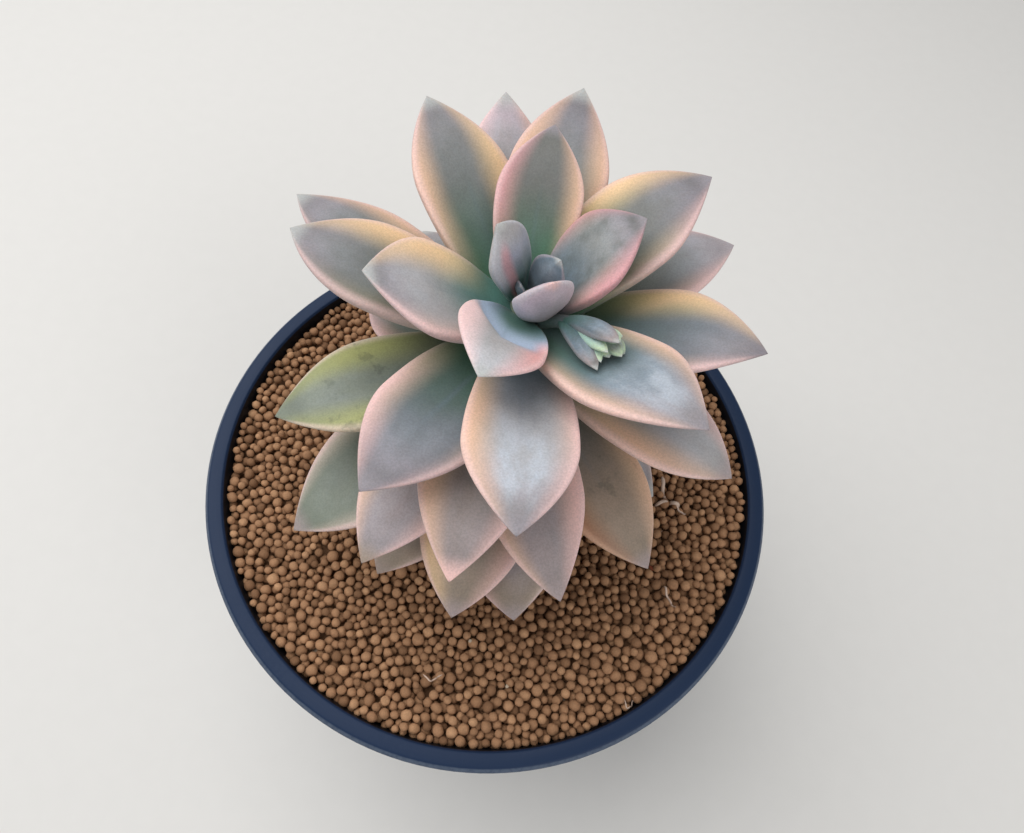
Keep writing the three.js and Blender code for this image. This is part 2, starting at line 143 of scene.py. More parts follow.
# Leaves from the growing point outwards. tip is x, y and height; stem is the height where the
# leaf leaves the stem; margins are the colours of its clockwise and its other side, seen from
# above; reach is how far each comes in; the rest bends the form or names the colours that differ.
LEAVES = (
    dict(tip=(1, 17, 70), stem=63.5, width=5, facing=-150, thick=0.5, skin="bud", base="deep",
         blade="deep"),
    dict(tip=(-6, 22, 84), stem=61, width=14, sway=1, facing=150, thick=0.42, skin="young",
         blade="haze", tip_tone="mist", margins=("haze", "cloud"), reach=(0.1, 0.5), stripe=0.7,
         ridge=0.5, bloom=0.2, rim_and_highlight_tone="cloud"),
    dict(tip=(9, 19, 79), stem=62, width=10, facing=50, thick=0.4, skin="bud", ridge=0.5),
    dict(tip=(8, 8, 85), stem=60.5, width=14, facing=-60, thick=0.5, skin="young", base="umber",
         blade="lavender", tip_tone="lilac", point="pink", margins=("lilac", "lilac"),
         reach=(0.5, 0.45), bloom=0.1, rim_and_highlight_tone="cloud"),
    dict(tip=(-4, -17, 85), stem=58.5, width=21, arch=4, facing=-125, widest=0.62, neck=0.25,
         skew=0.06, skin="young", blade="mist", tip_tone="cloud", margins=("blush", "coral"),
         reach=(0.5, 0.5), facet=1.0, bloom=0.0),
    dict(tip=(27, 32, 82), stem=59, width=26, arch=2, base="slate", tip_tone="fog", point="fog",
         margins=("rose", "rose"), reach=(0.34, 0.22), spot=1.0, bloom=0.2, mottle=0.7, rim=0.5,
         rim_and_highlight_tone="rose"),
    dict(tip=(-33, 7, 80), stem=57, width=29, arch=2, sway=-1, roll=8, base="teal", blade="mist",
         tip_tone="fog", margins=("gold", "pink"), reach=(0.6, 0.15)),
    dict(tip=(3, 59, 80), stem=57, width=22, arch=2, sway=-1, blade="stone", tip_tone="stone",
         point="fog", margins=("peach", "rose"), reach=(0.4, 0.38), spot=0.2, bloom=0.05,
         mottle=0.3),
    dict(tip=(8, -45, 77), stem=53, width=25, arch=4, widest=0.66, neck=0.25, base="slate",
         blade="mist", point="fog", reach=(0.42, 0.3), bloom=1.0, spot=0.7, trough=0.45),
    dict(tip=(43, -18, 80), stem=56, width=28, arch=4, sway=2, neck=0.3, blade="slate",
         point="fog", margins=("peach", "peach"), reach=(0.25, 0.3), bloom=0.85, spot=0.5,
         trough=0.6),
    dict(tip=(-30, 64, 78), stem=54, width=27, arch=3, blade="ash", tip_tone="fog",
         margins=("gold", "peach"), reach=(0.5, 0.35), spot=0.3, bloom=0.1, trough=0.3),
    dict(tip=(43, 53, 77), stem=54, width=29, arch=3, sway=-2, blade="stone", tip_tone="plum",
         point="fog", margins=("pink", "gold"), reach=(0.25, 0.5), spot=0.4, bloom=0.15,
         olive=1.0),
    dict(tip=(-25, -37, 65), stem=51.5, width=28, arch=4, sway=-1, blade="steel", tip_tone="plum",
         point="fog", margins=("pink", "pink"), reach=(0.4, 0.1), bloom=0.2, crease=0.8, olive=0.7,
         rim=0.5),
    dict(tip=(-55, 23, 70), stem=53.5, width=30, arch=2, sway=-2, tip_power=2.2, blade="ash",
         tip_tone="fog", margins=("gold", "tan"), reach=(0.55, 0.2), bloom=0.2),
    dict(tip=(59, 9, 70), stem=49.5, width=31, arch=4, sway=-2, blade="steel", tip_tone="fog",
         point="plum", margins=("pink", "gold"), reach=(0.15, 0.55), olive=1.0, trough=0.5,
         bloom=0.15),
    dict(tip=(9, 83, 72), stem=49, width=27, arch=2, sway=-1, blade="ash", tip_tone="plum",
         margins=("peach", "peach"), reach=(0.4, 0.5), bloom=0.15),
    dict(tip=(-4, -50, 54), stem=48.5, width=25, arch=4, sway=1, blade="umber", tip_tone="mauve",
         point="pink", reach=(0.5, 0.3), bloom=0.15),
    dict(tip=(57, -15, 52), stem=46.5, width=27, arch=4, tip_power=2.4, blade="mist",
         tip_tone="mist", point="mauve", reach=(0.55, 0.4)),
    dict(tip=(21, -48, 44), stem=45, width=24, arch=4, sway=3, blade="mauve", tip_tone="mauve",
         point="mauve", reach=(0.3, 0.5), bloom=0.15),
    dict(tip=(-63, 47, 54), stem=45.5, width=26, arch=3, sway=-1, blade="ash", base="slate",
         tip_tone="fog", margins=("peach", "tan"), reach=(0.35, 0.15), bloom=0.2),
    dict(tip=(-12, 84, 66), stem=44, width=27, arch=-1, blade="mist", tip_tone="lilac",
         margins=("peach", "blush"), reach=(0.4, 0.4)),
    dict(tip=(-53, -15, 46), stem=44.5, width=28, arch=4, sway=-1, base="sage", blade="sage",
         tip_tone="sage", point="sage", margins=("olive", "olive"), reach=(0.6, 0.5), bruise=1.0,
         bloom=0.15, rim=0.8, rim_and_highlight_tone="cream"),
    dict(tip=(57, 55, 52), stem=43, width=28, arch=4, sway=-3, tip_power=2.2, point="lavender",
         margins=("pink", "pink"), reach=(0.25, 0.2), bloom=0.4),
    dict(tip=(-25, -46, 42), stem=41, width=25, arch=3, sway=1, blade="mauve", point="tan",
         reach=(0.35, 0.3), olive=0.6, bloom=0.2),
    dict(tip=(42, -35, 36), stem=41, width=26, arch=4, sway=1, base="stone", blade="tan",
         tip_tone="tan", point="mauve", margins=("brown", "peach"), reach=(0.45, 0.35), bruise=0.8,
         bloom=0.0, rim=0.4, rim_and_highlight_tone="peach"),
    dict(tip=(-3, -53, 32), stem=37, width=27, arch=4, tip_power=2.2, blade="tan", tip_tone="tan",
         point="mauve", margins=("gold", "pink"), reach=(0.55, 0.4), olive=0.6, bloom=0.1),
    dict(tip=(-47, -36, 24), stem=34, width=30, arch=4, blade="sage", tip_tone="sage",
         point="mauve", margins=("cream", "cream"), reach=(0.25, 0.18), bloom=0.1),
    dict(tip=(44, -13, 28), stem=33, width=24, arch=3, blade="cloud", margins=("cream", "cream"),
         reach=(0.2, 0.2)),
    dict(tip=(12, -50, 25), stem=31.5, width=28, arch=4, sway=1, tip_power=2.2, blade="lavender",
         tip_tone="tan", point="mauve", margins=("pink", "cream"), reach=(0.3, 0.25), bloom=0.1),
    dict(tip=(-24, -43, 21), stem=28, width=26, arch=3, blade="tan", tip_tone="tan", point="umber",
         margins=("cream", "cream"), reach=(0.25, 0.2), bloom=0.1),
    dict(tip=(-31, 56, 36), stem=38, width=25, arch=4),
    dict(tip=(22, 63, 34), stem=36, width=26, arch=4, blade="mauve"),
    dict(tip=(50, 28, 26), stem=31.5, width=26, arch=4, blade="tan"),
    dict(tip=(-44, 38, 22), stem=30, width=26, arch=4, blade="sage"),
    dict(tip=(-7, 58, 18), stem=24.5, width=25, arch=4, blade="sage"),
    dict(tip=(-46, 4, 14), stem=22.5, width=25, arch=4, blade="sage"),
)

# Flower stalk, and where along it each bract and bud grows.
STALK_ROUTE = ((6, 14, 59), (11, 11, 70), (20, 4.5, 74))
STALK_RADIUS = 1.6
BRACTS = (
    dict(at=0.45, tip=(20, -6, 76), width=4.6, arch=1, tip_power=2.6, skin="bract"),
    dict(at=0.5, tip=(23.5, -1, 80), width=5, arch=1, sway=-0.5, tip_power=2.6, skin="bract",
         spot=0.3),
    dict(at=0.8, tip=(22.5, -1.5, 74.5), width=5, arch=0.6, tip_power=2.6, skin="flower"),
    dict(at=0.95, tip=(26, 1, 73), width=4, arch=0.6, tip_power=2.6, skin="flower", blade="sage"),
)
BUDS = (
    dict(at=1, tip=(23.5, 2.5, 77.5), width=3.4, skin="flower"),
    dict(at=1, tip=(25, 4.5, 74.5), width=3, skin="flower"),
)

# Smaller buds packed between them.
SMALL_BUDS = (
    dict(at=0.6, tip=(21.6, -2.5, 78), width=3.6, tip_power=2.6, skin="flower"),
    dict(at=0.95, tip=(22.2, 0.3, 79), width=3, tip_power=2.6, skin="flower", blade="lime"),
    dict(at=0.8, tip=(20.6, -3.8, 75.8), width=2.8, tip_power=2.6, skin="flower"),
    dict(at=1, tip=(25, -1.4, 75.5), width=3.2, tip_power=2.6, skin="flower", blade="sage"),
    dict(at=1, tip=(24.3, 1.4, 77), width=2.8, tip_power=2.6, skin="flower", blade="lime"),
)

# Skins: the colours and amounts that a kind of leaf has where its own entry says nothing.
PLAIN = dict(base="green", blade="grey", tip_tone="lavender", point="pearl",
             margins=("peach", "pink"), reach=(0.3, 0.3), bloom=0.3, spot=0.35, trough=0.15,
             olive=0.35, mottle=0.25, crease=0.25, stripe=0.0, facet=0.0, bruise=0.0, rim=0.65,
             rim_and_highlight_tone="blush")
SKINS = {
    "blade": dict(),
    "young": dict(base="teal", spot=0.2, olive=0.0),
    "bud": dict(base="slate", blade="slate", tip_tone="slate", margins=("slate", "slate"),
                reach=(0.1, 0.1), bloom=0.35, spot=0.0, olive=0.0, rim=0.25),
    "bract": dict(base="teal", blade="slate", tip_tone="mauve", margins=("slate", "slate"),
                  reach=(0.1, 0.1), spot=0.8, olive=0.0, mottle=0.6, rim=0.5, rim_and_highlight_tone="mist"),
    "flower": dict(base="leek", blade="leek", tip_tone="lime", margins=("leek", "leek"),
                   reach=(0.1, 0.1), bloom=0.4, spot=0.0, olive=0.0, rim=0.2, mottle=0.0,
                   rim_and_highlight_tone="pearl"),
}

# Dried root fibres on the pellets: how thick each is, and x and y of the points it passes.
# Each touches the pellets once a FIBRE_STEP, in millimetres.
FIBRE_STEP = 0.9
FIBRES = (
    (0.6, ((53, 6), (54, 0.5), (57, -2), (60, -2.5))),
    (0.5, ((51.5, -3), (54, -2), (56, -2))),
    (0.3, ((57.5, -2), (59, -4), (60.5, -4.5), (62.5, -3.5))),
    (0.3, ((55.5, -28), (56, -30.5), (57.5, -32.5), (60, -34))),
    (0.2, ((54, -11), (55.5, -10))),
    (0.2, ((46, -61), (47, -63), (48.5, -62), (49, -59))),
    (0.2, ((-4, -62), (-7, -64), (-10, -62))),
)

# Specks on the pellets: x, y, radius, how long the speck is for its width, and its colour.
SPECKS = (
    (-40, -60, 0.9, 2.2, "speck"),
    (2, -52, 0.45, 1.2, "speck"),
    (14, -62, 0.5, 1.4, "speck"),
    (30, -63, 0.45, 1.2, "speck"),
    (-55, -20, 0.5, 1.3, "speck"),
    (52, -22.5, 0.8, 1.4, "flake"),
)


def linear(code):
    """A display colour such as "dfb0a4" as scene-linear red, green, blue and alpha."""
    shares = [int(code[place:place + 2], 16) / 255 for place in (0, 2, 4)]
    flat = [share / 12.92 if share <= 0.04045 else ((share + 0.055) / 1.055) ** 2.4
            for share in shares]
    return (*flat, 1.0)


def length_property(**settings):
    return FloatProperty(unit="LENGTH", precision=5, **settings)


def colour_property(default, **settings):
    return FloatVectorProperty(subtype="COLOR", size=4, min=0.0, max=1.0,
                               default=linear(default), **settings)


def properties(make, **entries):
    """Properties of one kind by name, each from its default value and what it is for."""
    return {name: make(name=name.replace("_", " ").title(), description=use, default=value)
            for name, (value, use) in entries.items()}


class PotSettings(bpy.types.PropertyGroup):
    __annotations__ = properties(
        length_property,
        rim_radius=(pot_high.x, "Outer radius of the rim"),
        height=(pot_high.z, "Height of the pot"),
        foot_radius=(60 * MM, "Outer radius at the foot"),
        wall=(1.6 * MM, "Thickness of the wall"),
        rim_band=(5.2 * MM, "Width of the flat band"),
        lip=(1.0 * MM, "Size of the sloped edge round the band"),
        skirt=(14 * MM, "Height of the skirt under the rim"),
        skirt_wall=(1.5 * MM, "Thickness of the skirt"),
        floor_top=(4 * MM, "Top of the floor above the base"),
        recess=(2 * MM, "Depth of the recess under the floor"),
        pad_radius=(20 * MM, "Radius of the centre pad"),
        ring_radius=(52 * MM, "Inner radius of the foot ring"),
        hole_radius=(4.5 * MM, "Radius of a drainage hole"),
        hole_circle=(36 * MM, "Radius of the circle that the holes lie on"),
    ) | properties(
        IntProperty,
        hole_count=(8, "Number of drainage holes"),
        sides=(160, "Facets round the pot"),
    ) | properties(
        colour_property,
        plastic=("182a45", "Colour of the pot's plastic"),
        # The scuff colour also paints the highlight on the lip's outer edge.
        scuff=("525e70", "Colour of dust and light scuffs on the plastic"),
        # The inside colour is painted shade: the inner wall darkened to near black where shade
        # falls.
        inside=("0b0e14", "Colour of the damp inside of the wall"),
    )


class PelletSettings(bpy.types.PropertyGroup):
    __annotations__ = properties(
        length_property,
        small=(2.0 * MM, "Diameter of the smallest pellets"),
        usual=(2.6 * MM, "Diameter of most pellets"),
        large=(3.8 * MM, "Diameter of the largest pellets"),
        bed_drop=(3.4 * MM, "How far the solid bed lies under the surface"),
        swell=(0.6 * MM, "How far the surface rises and falls"),
        slope=(1.4 * MM, "How far the surface drops from the front right"),
    ) | properties(
        IntProperty,
        tries=(4, "Places tried for each pellet"),
        most=(9000, "Most pellets that are made"),
        shapes=(6, "Number of different pellet shapes"),
        seed=(11, "Seed of the random drops"),
    ) | properties(
        colour_property,
        clay=("a27a5a", "Usual colour of the pellets"),
        # The dark colour is also the soil bed's, where it stands as painted shade between the
        # pellets.
        pale=("b98f6b", "Colour of the driest pellets"),
        dark=("78573d", "Colour of the dampest pellets"),
        fibre=("d0b8a6", "Colour of dried roots"),
        speck=("bfae97", "Colour of the pale specks"),
        flake=("b8684a", "Colour of the dried petal"),
    )


class LeafSettings(bpy.types.PropertyGroup):
    __annotations__ = properties(
        IntProperty,
        around=(44, "Facets round a leaf"),
        along=(56, "Rings along a leaf"),
    ) | properties(
        colour_property,
        green=("466e54", "Base of most leaves"),
        teal=("4b766c", "Base of the young leaves"),
        # The buds' own blue-grey; the leaf skin also paints it as shade in the troughs and along
        # the midrib crease.
        slate=("6a7a86", "Blue-grey of the buds and troughs"),
        deep=("40585a", "Shaded bud at the heart of the rosette"),
        stone=("6f6f6b", "Middle of the darkest blade"),
        steel=("666d73", "Middle of the blue-grey blades"),
        ash=("787a77", "Middle of the dark grey blades"),
        grey=("8f908d", "Middle of most blades"),
        mist=("aaa6a6", "Middle of the palest blades"),
        mauve=("9d8f8e", "Middle of the lower blades"),
        umber=("8a7c75", "Middle of the sun-browned blade"),
        sage=("7b8274", "Middle of the shaded blades"),
        tan=("998878", "Middle of the lowest blades"),
        lavender=("a39a9e", "Outer part of most blades"),
        fog=("918b90", "Outer part of the darker blades"),
        plum=("807a80", "Outer part of the darkest blades"),
        frost=("a8b9cf", "Face of the leaf that the bud pressed flat"),
        pearl=("b4b6b3", "Points of the upper leaves"),
        haze=("a5a8b6", "Face of a young blade"),
        cloud=("c4c4c8", "Outer part of the youngest blades"),
        lilac=("cbbac3", "Margins of the youngest blades"),
        pink=("e9bfb8", "Pink margins"),
        blush=("ecc9c6", "Palest pink margins"),
        rose=("d59c9f", "Deeper pink margins"),
        coral=("e2a09b", "Deepest pink margins"),
        peach=("e8bd9f", "Peach margins"),
        gold=("ecc79a", "Golden margins"),
        cream=("e8d0c2", "Cream margins and tips"),
        olive=("a6a86c", "Yellow-green margins"),
        brown=("a06e50", "Sun-browned margins"),
        leek=("9dbcae", "Pale green of the flower buds"),
        lime=("b5c8a4", "Yellow-green tips of the flower buds"),
        # The powder's pale blue-white; the leaf skin also paints it as a sheen where a blade curves
        # up to the sky.
        bloom=("bdc5cf", "Powdery bloom on the skin"),
        bruise=("444a40", "Dark marks on the skin"),
        bark=("7d6d58", "Old part of the stem"),
        shoot=("7f8a78", "Young part of the stem"),
    )


class StageSettings(bpy.types.PropertyGroup):
    __annotations__ = properties(
        partial(FloatVectorProperty, subtype="TRANSLATION", unit="LENGTH"),
        camera_place=((0.003712, -0.086526, 0.335691), "Where the camera stands"),
    ) | properties(
        partial(FloatProperty, subtype="ANGLE"),
        camera_dip=(math.radians(63.66), "How far the camera looks down"),
        camera_roll=(math.radians(9.007), "Turn about the line of sight"),
    ) | properties(
        partial(FloatProperty, unit="CAMERA"),
        camera_lens=(26.05, "Focal length on a 36 mm sensor"),
    ) | properties(
        colour_property,
        floor=("dcdad6", "Colour of the floor"),
        sky=("f1f2f4", "Colour of the light all round"),
    ) | properties(
        FloatProperty,
        sky_strength=(0.46, "Light all round"),
    ) | properties(
        partial(FloatProperty, unit="POWER"),
        key_power=(8.5, "Large light overhead"),
        fill_power=(2.8, "Soft light from one side"),
    )


# ---- Shader helpers ----

GRAIN_GROUP = "Mottled Grain"
LEAF_GROUP = "Powdery Leaf Skin"
LEAF_MARKS = ("along", "across", "upper")
LEAF_SHADER = {
    "Specular IOR Level": 0.35,
    "Subsurface Weight": 0.1,
    "Subsurface Radius": (1.0, 0.55, 0.35),
    "Subsurface Scale": 2.0 * MM,
    "Sheen Weight": 0.12,
    "Sheen Roughness": 0.5,
}


class Graph:
    """Short calls for the nodes that the finishes are made of."""

    def __init__(self, tree):
        self.tree = tree

    def add(self, kind, **settings):
        node = self.tree.nodes.new(kind)
        node.location = (len(self.tree.nodes) * 180, 0)
        for name, value in settings.items():
            setattr(node, name, value)
        return node

    def feed(self, socket, value):
        if isinstance(value, bpy.types.NodeSocket):
            self.tree.links.new(value, socket)
        else:
            socket.default_value = value

    def wire(self, node, *values):
        """Feeds a node's inputs in their order and gives its outputs."""
        for socket, value in zip(node.inputs, values):
            self.feed(socket, value)
        return node.outputs

    def math(self, operation, first, second=0.0, third=0.0, clamp=False):
        node = self.add("ShaderNodeMath", operation=operation, use_clamp=clamp)
        return self.wire(node, first, second, third)[0]

    def product(self, first, *others):
        """The product of two or more values."""
        for other in others:
            first = self.math("MULTIPLY", first, other)
        return first

    def ramp(self, value, low, high, to_low=0.0, to_high=1.0):
        """A soft step from to_low at low to to_high at high."""
        node = self.add("ShaderNodeMapRange", interpolation_type="SMOOTHSTEP")
        return self.wire(node, value, low, high, to_low, to_high)[0]

    def fall(self, value, low, high):
        """A soft step from 1 at low to 0 at high."""
        return self.ramp(value, low, high, 1.0, 0.0)

    def mix(self, share, first, second, blend="MIX"):
        node = self.add("ShaderNodeMix", data_type="RGBA", blend_type=blend)
        self.feed(node.inputs["Factor"], share)
        self.feed(node.inputs[6], first)
        self.feed(node.inputs[7], second)
        return node.outputs[2]

    def noise(self, place, scale, detail=2.0, roughness=0.5):
        node = self.add("ShaderNodeTexNoise")
        self.feed(node.inputs["Vector"], place)
        self.feed(node.inputs["Scale"], scale)
        self.feed(node.inputs["Detail"], detail)
        self.feed(node.inputs["Roughness"], roughness)
        return node.outputs[0]

    def join(self, x, y, z):
        return self.wire(self.add("ShaderNodeCombineXYZ"), x, y, z)[0]

    def split(self, place):
        return self.wire(self.add("ShaderNodeSeparateXYZ"), place)

    def attribute(self, name):
        return self.add("ShaderNodeAttribute", attribute_name=name).outputs["Fac"]

    def place(self):
        return self.add("ShaderNodeTexCoord").outputs["Object"]

    def shaded(self, colour, value, low, high, darkest, lightest):
        """A colour made darker where value is low and lighter where it is high."""
        shade = self.ramp(value, low, high, darkest, lightest)
        return self.mix(1.0, colour, self.join(shade, shade, shade), "MULTIPLY")


def new_group(name, inputs, outputs):
    """An empty node group with its sockets, its graph and its input and output nodes."""
    tree = bpy.data.node_groups.new(name, "ShaderNodeTree")
    for direction, sockets in (("INPUT", inputs), ("OUTPUT", outputs)):
        for socket, kind in sockets:
            tree.interface.new_socket(socket, in_out=direction, socket_type=f"NodeSocket{kind}")
    graph = Graph(tree)
    return graph, graph.add("NodeGroupInput").outputs, graph.add("NodeGroupOutput").inputs


def use_group(graph, tree, **values):
    """Places a group in a material; values are socket names with _ for each space."""
    node = graph.add("ShaderNodeGroup", node_tree=tree)
    for name, value in values.items():
        graph.feed(node.inputs[name.replace("_", " ").title()], value)
    return node.outputs


def new_material(name):
    """A material with its graph and its Principled shader."""
    material = bpy.data.materials.new(name)
    material.use_nodes = True
    graph = Graph(material.node_tree)
    return material, graph, material.node_tree.nodes["Principled BSDF"].inputs


def finish(graph, shader, colour, roughness, height, distance, strength=1.0):
    """Feeds a Principled shader, with the height as bump."""
    node = graph.add("ShaderNodeBump")
    graph.feed(node.inputs["Height"], height)
    graph.feed(node.inputs["Distance"], distance)
    graph.feed(node.inputs["Strength"], strength)
    graph.feed(shader["Base Color"], colour)
    graph.feed(shader["Roughness"], roughness)
    graph.feed(shader["Normal"], node.outputs[0])


def grain_group():
    """Two sizes of mottling, for dust, clay and bark: a fine grain and a broad cloud."""
    if GRAIN_GROUP in bpy.data.node_groups:
        return bpy.data.node_groups[GRAIN_GROUP]
    graph, given, made = new_group(
        GRAIN_GROUP,
        (("Place", "Vector"), ("Fine Scale", "Float"), ("Broad Scale", "Float")),
        (("Fine", "Float"), ("Broad", "Float")),
    )
    graph.feed(made["Fine"], graph.noise(given["Place"], given["Fine Scale"], 3.0, 0.65))
    graph.feed(made["Broad"], graph.noise(given["Place"], given["Broad Scale"], 2.0, 0.5))
    return graph.tree


def mottled(graph, place, fine_scale, broad_scale):
    return use_group(graph, grain_group(), place=place, fine_scale=fine_scale,
                     broad_scale=broad_scale)


def leaf_skin_group():
    """The colours of a powdery leaf, by how far along and across the blade a point lies."""
    if LEAF_GROUP in bpy.data.node_groups:
        return bpy.data.node_groups[LEAF_GROUP]
    colours = ("Base", "Blade", "Tip Tone", "Point", "Slate", "Olive Tone", "Powder", "Dusk",
               "Clockwise", "Counter", "Rim And Highlight Tone", "Stripe Tone", "Face")
    amounts = ("Along", "Across", "Upper", "Clockwise Reach", "Counter Reach", "Bloom", "Spot",
               "Trough", "Olive", "Mottle", "Crease", "Stripe", "Facet", "Bruise", "Rim", "Seed")
    graph, given, made = new_group(
        LEAF_GROUP,
        [("Place", "Vector")] + [(name, "Color") for name in colours]
        + [(name, "Float") for name in amounts],
        (("Color", "Color"), ("Roughness", "Float"), ("Height", "Float")),
    )
    mix, ramp, fall, product = graph.mix, graph.ramp, graph.fall, graph.product
    place, along, across, upper = (given[name] for name in ("Place", "Along", "Across", "Upper"))
    edge = graph.math("ABSOLUTE", across)
    broad = graph.noise(place, 55.0)
    cloud = graph.noise(place, 190.0, 3.0, 0.6)
    fine = graph.noise(place, 2200.0, 2.0, 0.6)
    strokes = graph.join(product(across, 1.2), product(along, 3.6), given["Seed"])
    brushed = graph.noise(strokes, 2.2, 4.0, 0.55)
    wander = graph.math("SUBTRACT", broad, 0.5)

    # From the green base over the blade's own colour to the tip's.
    drift = graph.math("MULTIPLY_ADD", wander, 0.3, along)
    drift = graph.math("MULTIPLY_ADD", edge, 0.08, drift)
    colour = mix(ramp(drift, 0.2, 0.72), given["Base"], given["Blade"])
    colour = mix(ramp(drift, 0.68, 0.96), colour, given["Tip Tone"])
    cloudy = product(ramp(cloud, 0.35, 0.7, 0.0, 0.6), given["Mottle"])
    colour = mix(cloudy, colour, given["Dusk"])

    # Painted shade in the trough along the middle of the inner half, in slate.
    trough = product(fall(edge, 0.05, 0.5), fall(along, 0.4, 0.68), given["Trough"], upper, 0.75)
    colour = mix(trough, colour, given["Slate"])

    # Bloom lies brushed and thick over the outer half of the blade: real powder, with a painted
    # sheen where the blade curves to the sky.
    patch = product(ramp(drift, 0.48, 0.74), ramp(along, 0.8, 0.96, 1.0, 0.15))
    powder = product(ramp(brushed, 0.35, 0.65, 0.45, 1.0), patch, fall(edge, 0.3, 0.82),
                     given["Bloom"], 0.8)
    colour = mix(powder, colour, given["Powder"])

    # Warm margins fade inwards, green-gold near the base and duller near the tip.
    edge_in = graph.math("MULTIPLY_ADD", wander, 0.22, edge)
    fade = product(ramp(along, 0.12, 0.52), ramp(along, 0.62, 0.97, 1.0, 0.4))
    greener = product(fall(along, 0.25, 0.65), given["Olive"])
    for side, sign in (("Clockwise", 1.0), ("Counter", -1.0)):
        own = ramp(product(across, sign), -0.02, 0.02)
        start = graph.math("SUBTRACT", 0.7, given[f"{side} Reach"])
        full = graph.math("SUBTRACT", 1.4, given[f"{side} Reach"])
        warm = product(ramp(edge_in, start, full), fade, own)
        inner = product(ramp(edge_in, graph.math("ADD", start, 0.15), full, 0.6, 0.0),
                        given["Olive"], fall(along, 0.6, 0.85))
        tone = mix(graph.math("MAXIMUM", greener, inner), given[side], given["Olive Tone"])
        colour = mix(warm, colour, tone)

    # A pale rounded rim: partly the margin's own pale colour, partly a painted highlight along the
    # rounded edge.
    rim = product(ramp(edge, 0.8, 0.98), ramp(along, 0.15, 0.5), given["Rim"], 0.8)
    colour = mix(rim, colour, given["Rim And Highlight Tone"])

    # The flat face at the base of a leaf that was pressed against the bud, and the stripe that
    # a neighbour left beside the midrib of another.
    border = graph.math("MULTIPLY_ADD", graph.math("MAXIMUM", across, 0.0), 0.3, along)
    corner = product(fall(across, -0.95, -0.6), ramp(along, 0.4, 0.6))
    pressed = product(fall(border, 0.55, 0.72), given["Facet"], upper,
                      graph.math("SUBTRACT", 1.0, corner))
    colour = mix(pressed, colour, mix(ramp(border, 0.2, 0.56), given["Base"], given["Face"]))
    beside = graph.math("ABSOLUTE", graph.math("ADD", across, 0.5))
    stripe = product(fall(beside, 0.05, 0.32), ramp(along, 0.02, 0.15), fall(along, 0.72, 0.9),
                     given["Stripe"])
    colour = mix(stripe, colour, given["Stripe Tone"])

    # Tip: a dull smudge and then a pale point.
    smudge = product(ramp(along, 0.84, 0.93), ramp(edge, 0.3, 0.9, 1.0, 0.2), given["Spot"], 0.5)
    colour = mix(smudge, colour, given["Dusk"])
    colour = mix(ramp(along, 0.9, 0.985, 0.0, 0.85), colour, given["Point"])

    # Painted shade in a dark line along the midrib crease, and bruises.
    crease_shade = product(fall(edge, 0.0, 0.09), ramp(along, 0.25, 0.4), fall(along, 0.5, 0.72), upper,
                   given["Crease"], 0.5)
    colour = mix(crease_shade, colour, given["Slate"])
    mark = product(ramp(graph.noise(place, 140.0, 4.0, 0.6), 0.6, 0.68), given["Bruise"], 0.35)
    colour = mix(mark, colour, given["Dusk"])

    # The underside is paler, and fine powder covers everything.
    under = product(graph.math("SUBTRACT", 1.0, upper), 0.25)
    colour = mix(under, colour, given["Tip Tone"])
    graph.feed(made["Color"], graph.shaded(colour, fine, 0.28, 0.72, 0.89, 1.08))
    graph.feed(made["Roughness"], ramp(brushed, 0.2, 0.8, 0.5, 0.62))
    graph.feed(made["Height"], graph.math("MULTIPLY_ADD", fine, 0.25, cloud))
    return graph.tree


def leaf_material(name, leaf, palette):
    """A leaf's own material: its colours by name, in the shared skin."""
    look = {**PLAIN, **SKINS[leaf.get("skin", "blade")], **leaf}
    look["clockwise"], look["counter"] = look["margins"]
    tones = ("base", "blade", "tip_tone", "point", "clockwise", "counter", "rim_and_highlight_tone")
    amounts = ("bloom", "spot", "trough", "olive", "mottle", "crease", "stripe", "facet", "bruise",
               "rim")
    material, graph, shader = new_material(name)
    skin = use_group(
        graph, leaf_skin_group(), place=graph.place(),
        **{mark: graph.attribute(mark) for mark in LEAF_MARKS},
        **{tone: getattr(palette, look[tone]) for tone in tones},
        slate=palette.slate, olive_tone=palette.olive, powder=palette.bloom, dusk=palette.bruise,
        stripe_tone=palette.rose, face=palette.frost,
        clockwise_reach=look["reach"][0], counter_reach=look["reach"][1],
        **{amount: look[amount] for amount in amounts}, seed=look["tip"][0] * 0.37,
    )
    finish(graph, shader, skin["Color"], skin["Roughness"], skin["Height"], 0.12 * MM, 0.4)
    for socket, value in LEAF_SHADER.items():
        shader[socket].default_value = value
    return material


# ---- Pieces ----


def show(name, data):
    """An object in the scene for a mesh, a curve, a camera or a light."""
    thing = bpy.data.objects.new(name, data)
    bpy.context.scene.collection.objects.link(thing)
    return thing


def new_mesh(name, bm):
    """Turns a bmesh into a mesh and frees it."""
    mesh = bpy.data.meshes.new(name)
    bm.to_mesh(mesh)
    bm.free()
    return mesh


def made_mesh(thing):
    """A new mesh of what an object's modifiers or its curve make."""
    bpy.context.view_layer.update()
    made = thing.evaluated_get(bpy.context.evaluated_depsgraph_get())
    return bpy.data.meshes.new_from_object(made)


def new_piece(name, bm, material, nodes=(), crease=None):
    """Turns a bmesh into a shown piece that rides on the plant's one body."""
    mesh = new_mesh(name, bm)
    mesh.shade_smooth()
    if crease is not None:
        mesh.set_sharp_from_angle(angle=crease)
    return place_piece(name, mesh, material, nodes)


def place_piece(name, mesh, material, nodes=()):
    mesh.materials.append(material)
    piece = show(name, mesh)
    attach(piece, BODY)
    if nodes:
        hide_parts(*nodes)
    return piece


def face_outwards(bm):
    """Turns the faces of a closed shape outwards. Its normals are brought up to date first."""
    bm.normal_update()
    bmesh.ops.recalc_face_normals(bm, faces=bm.faces)


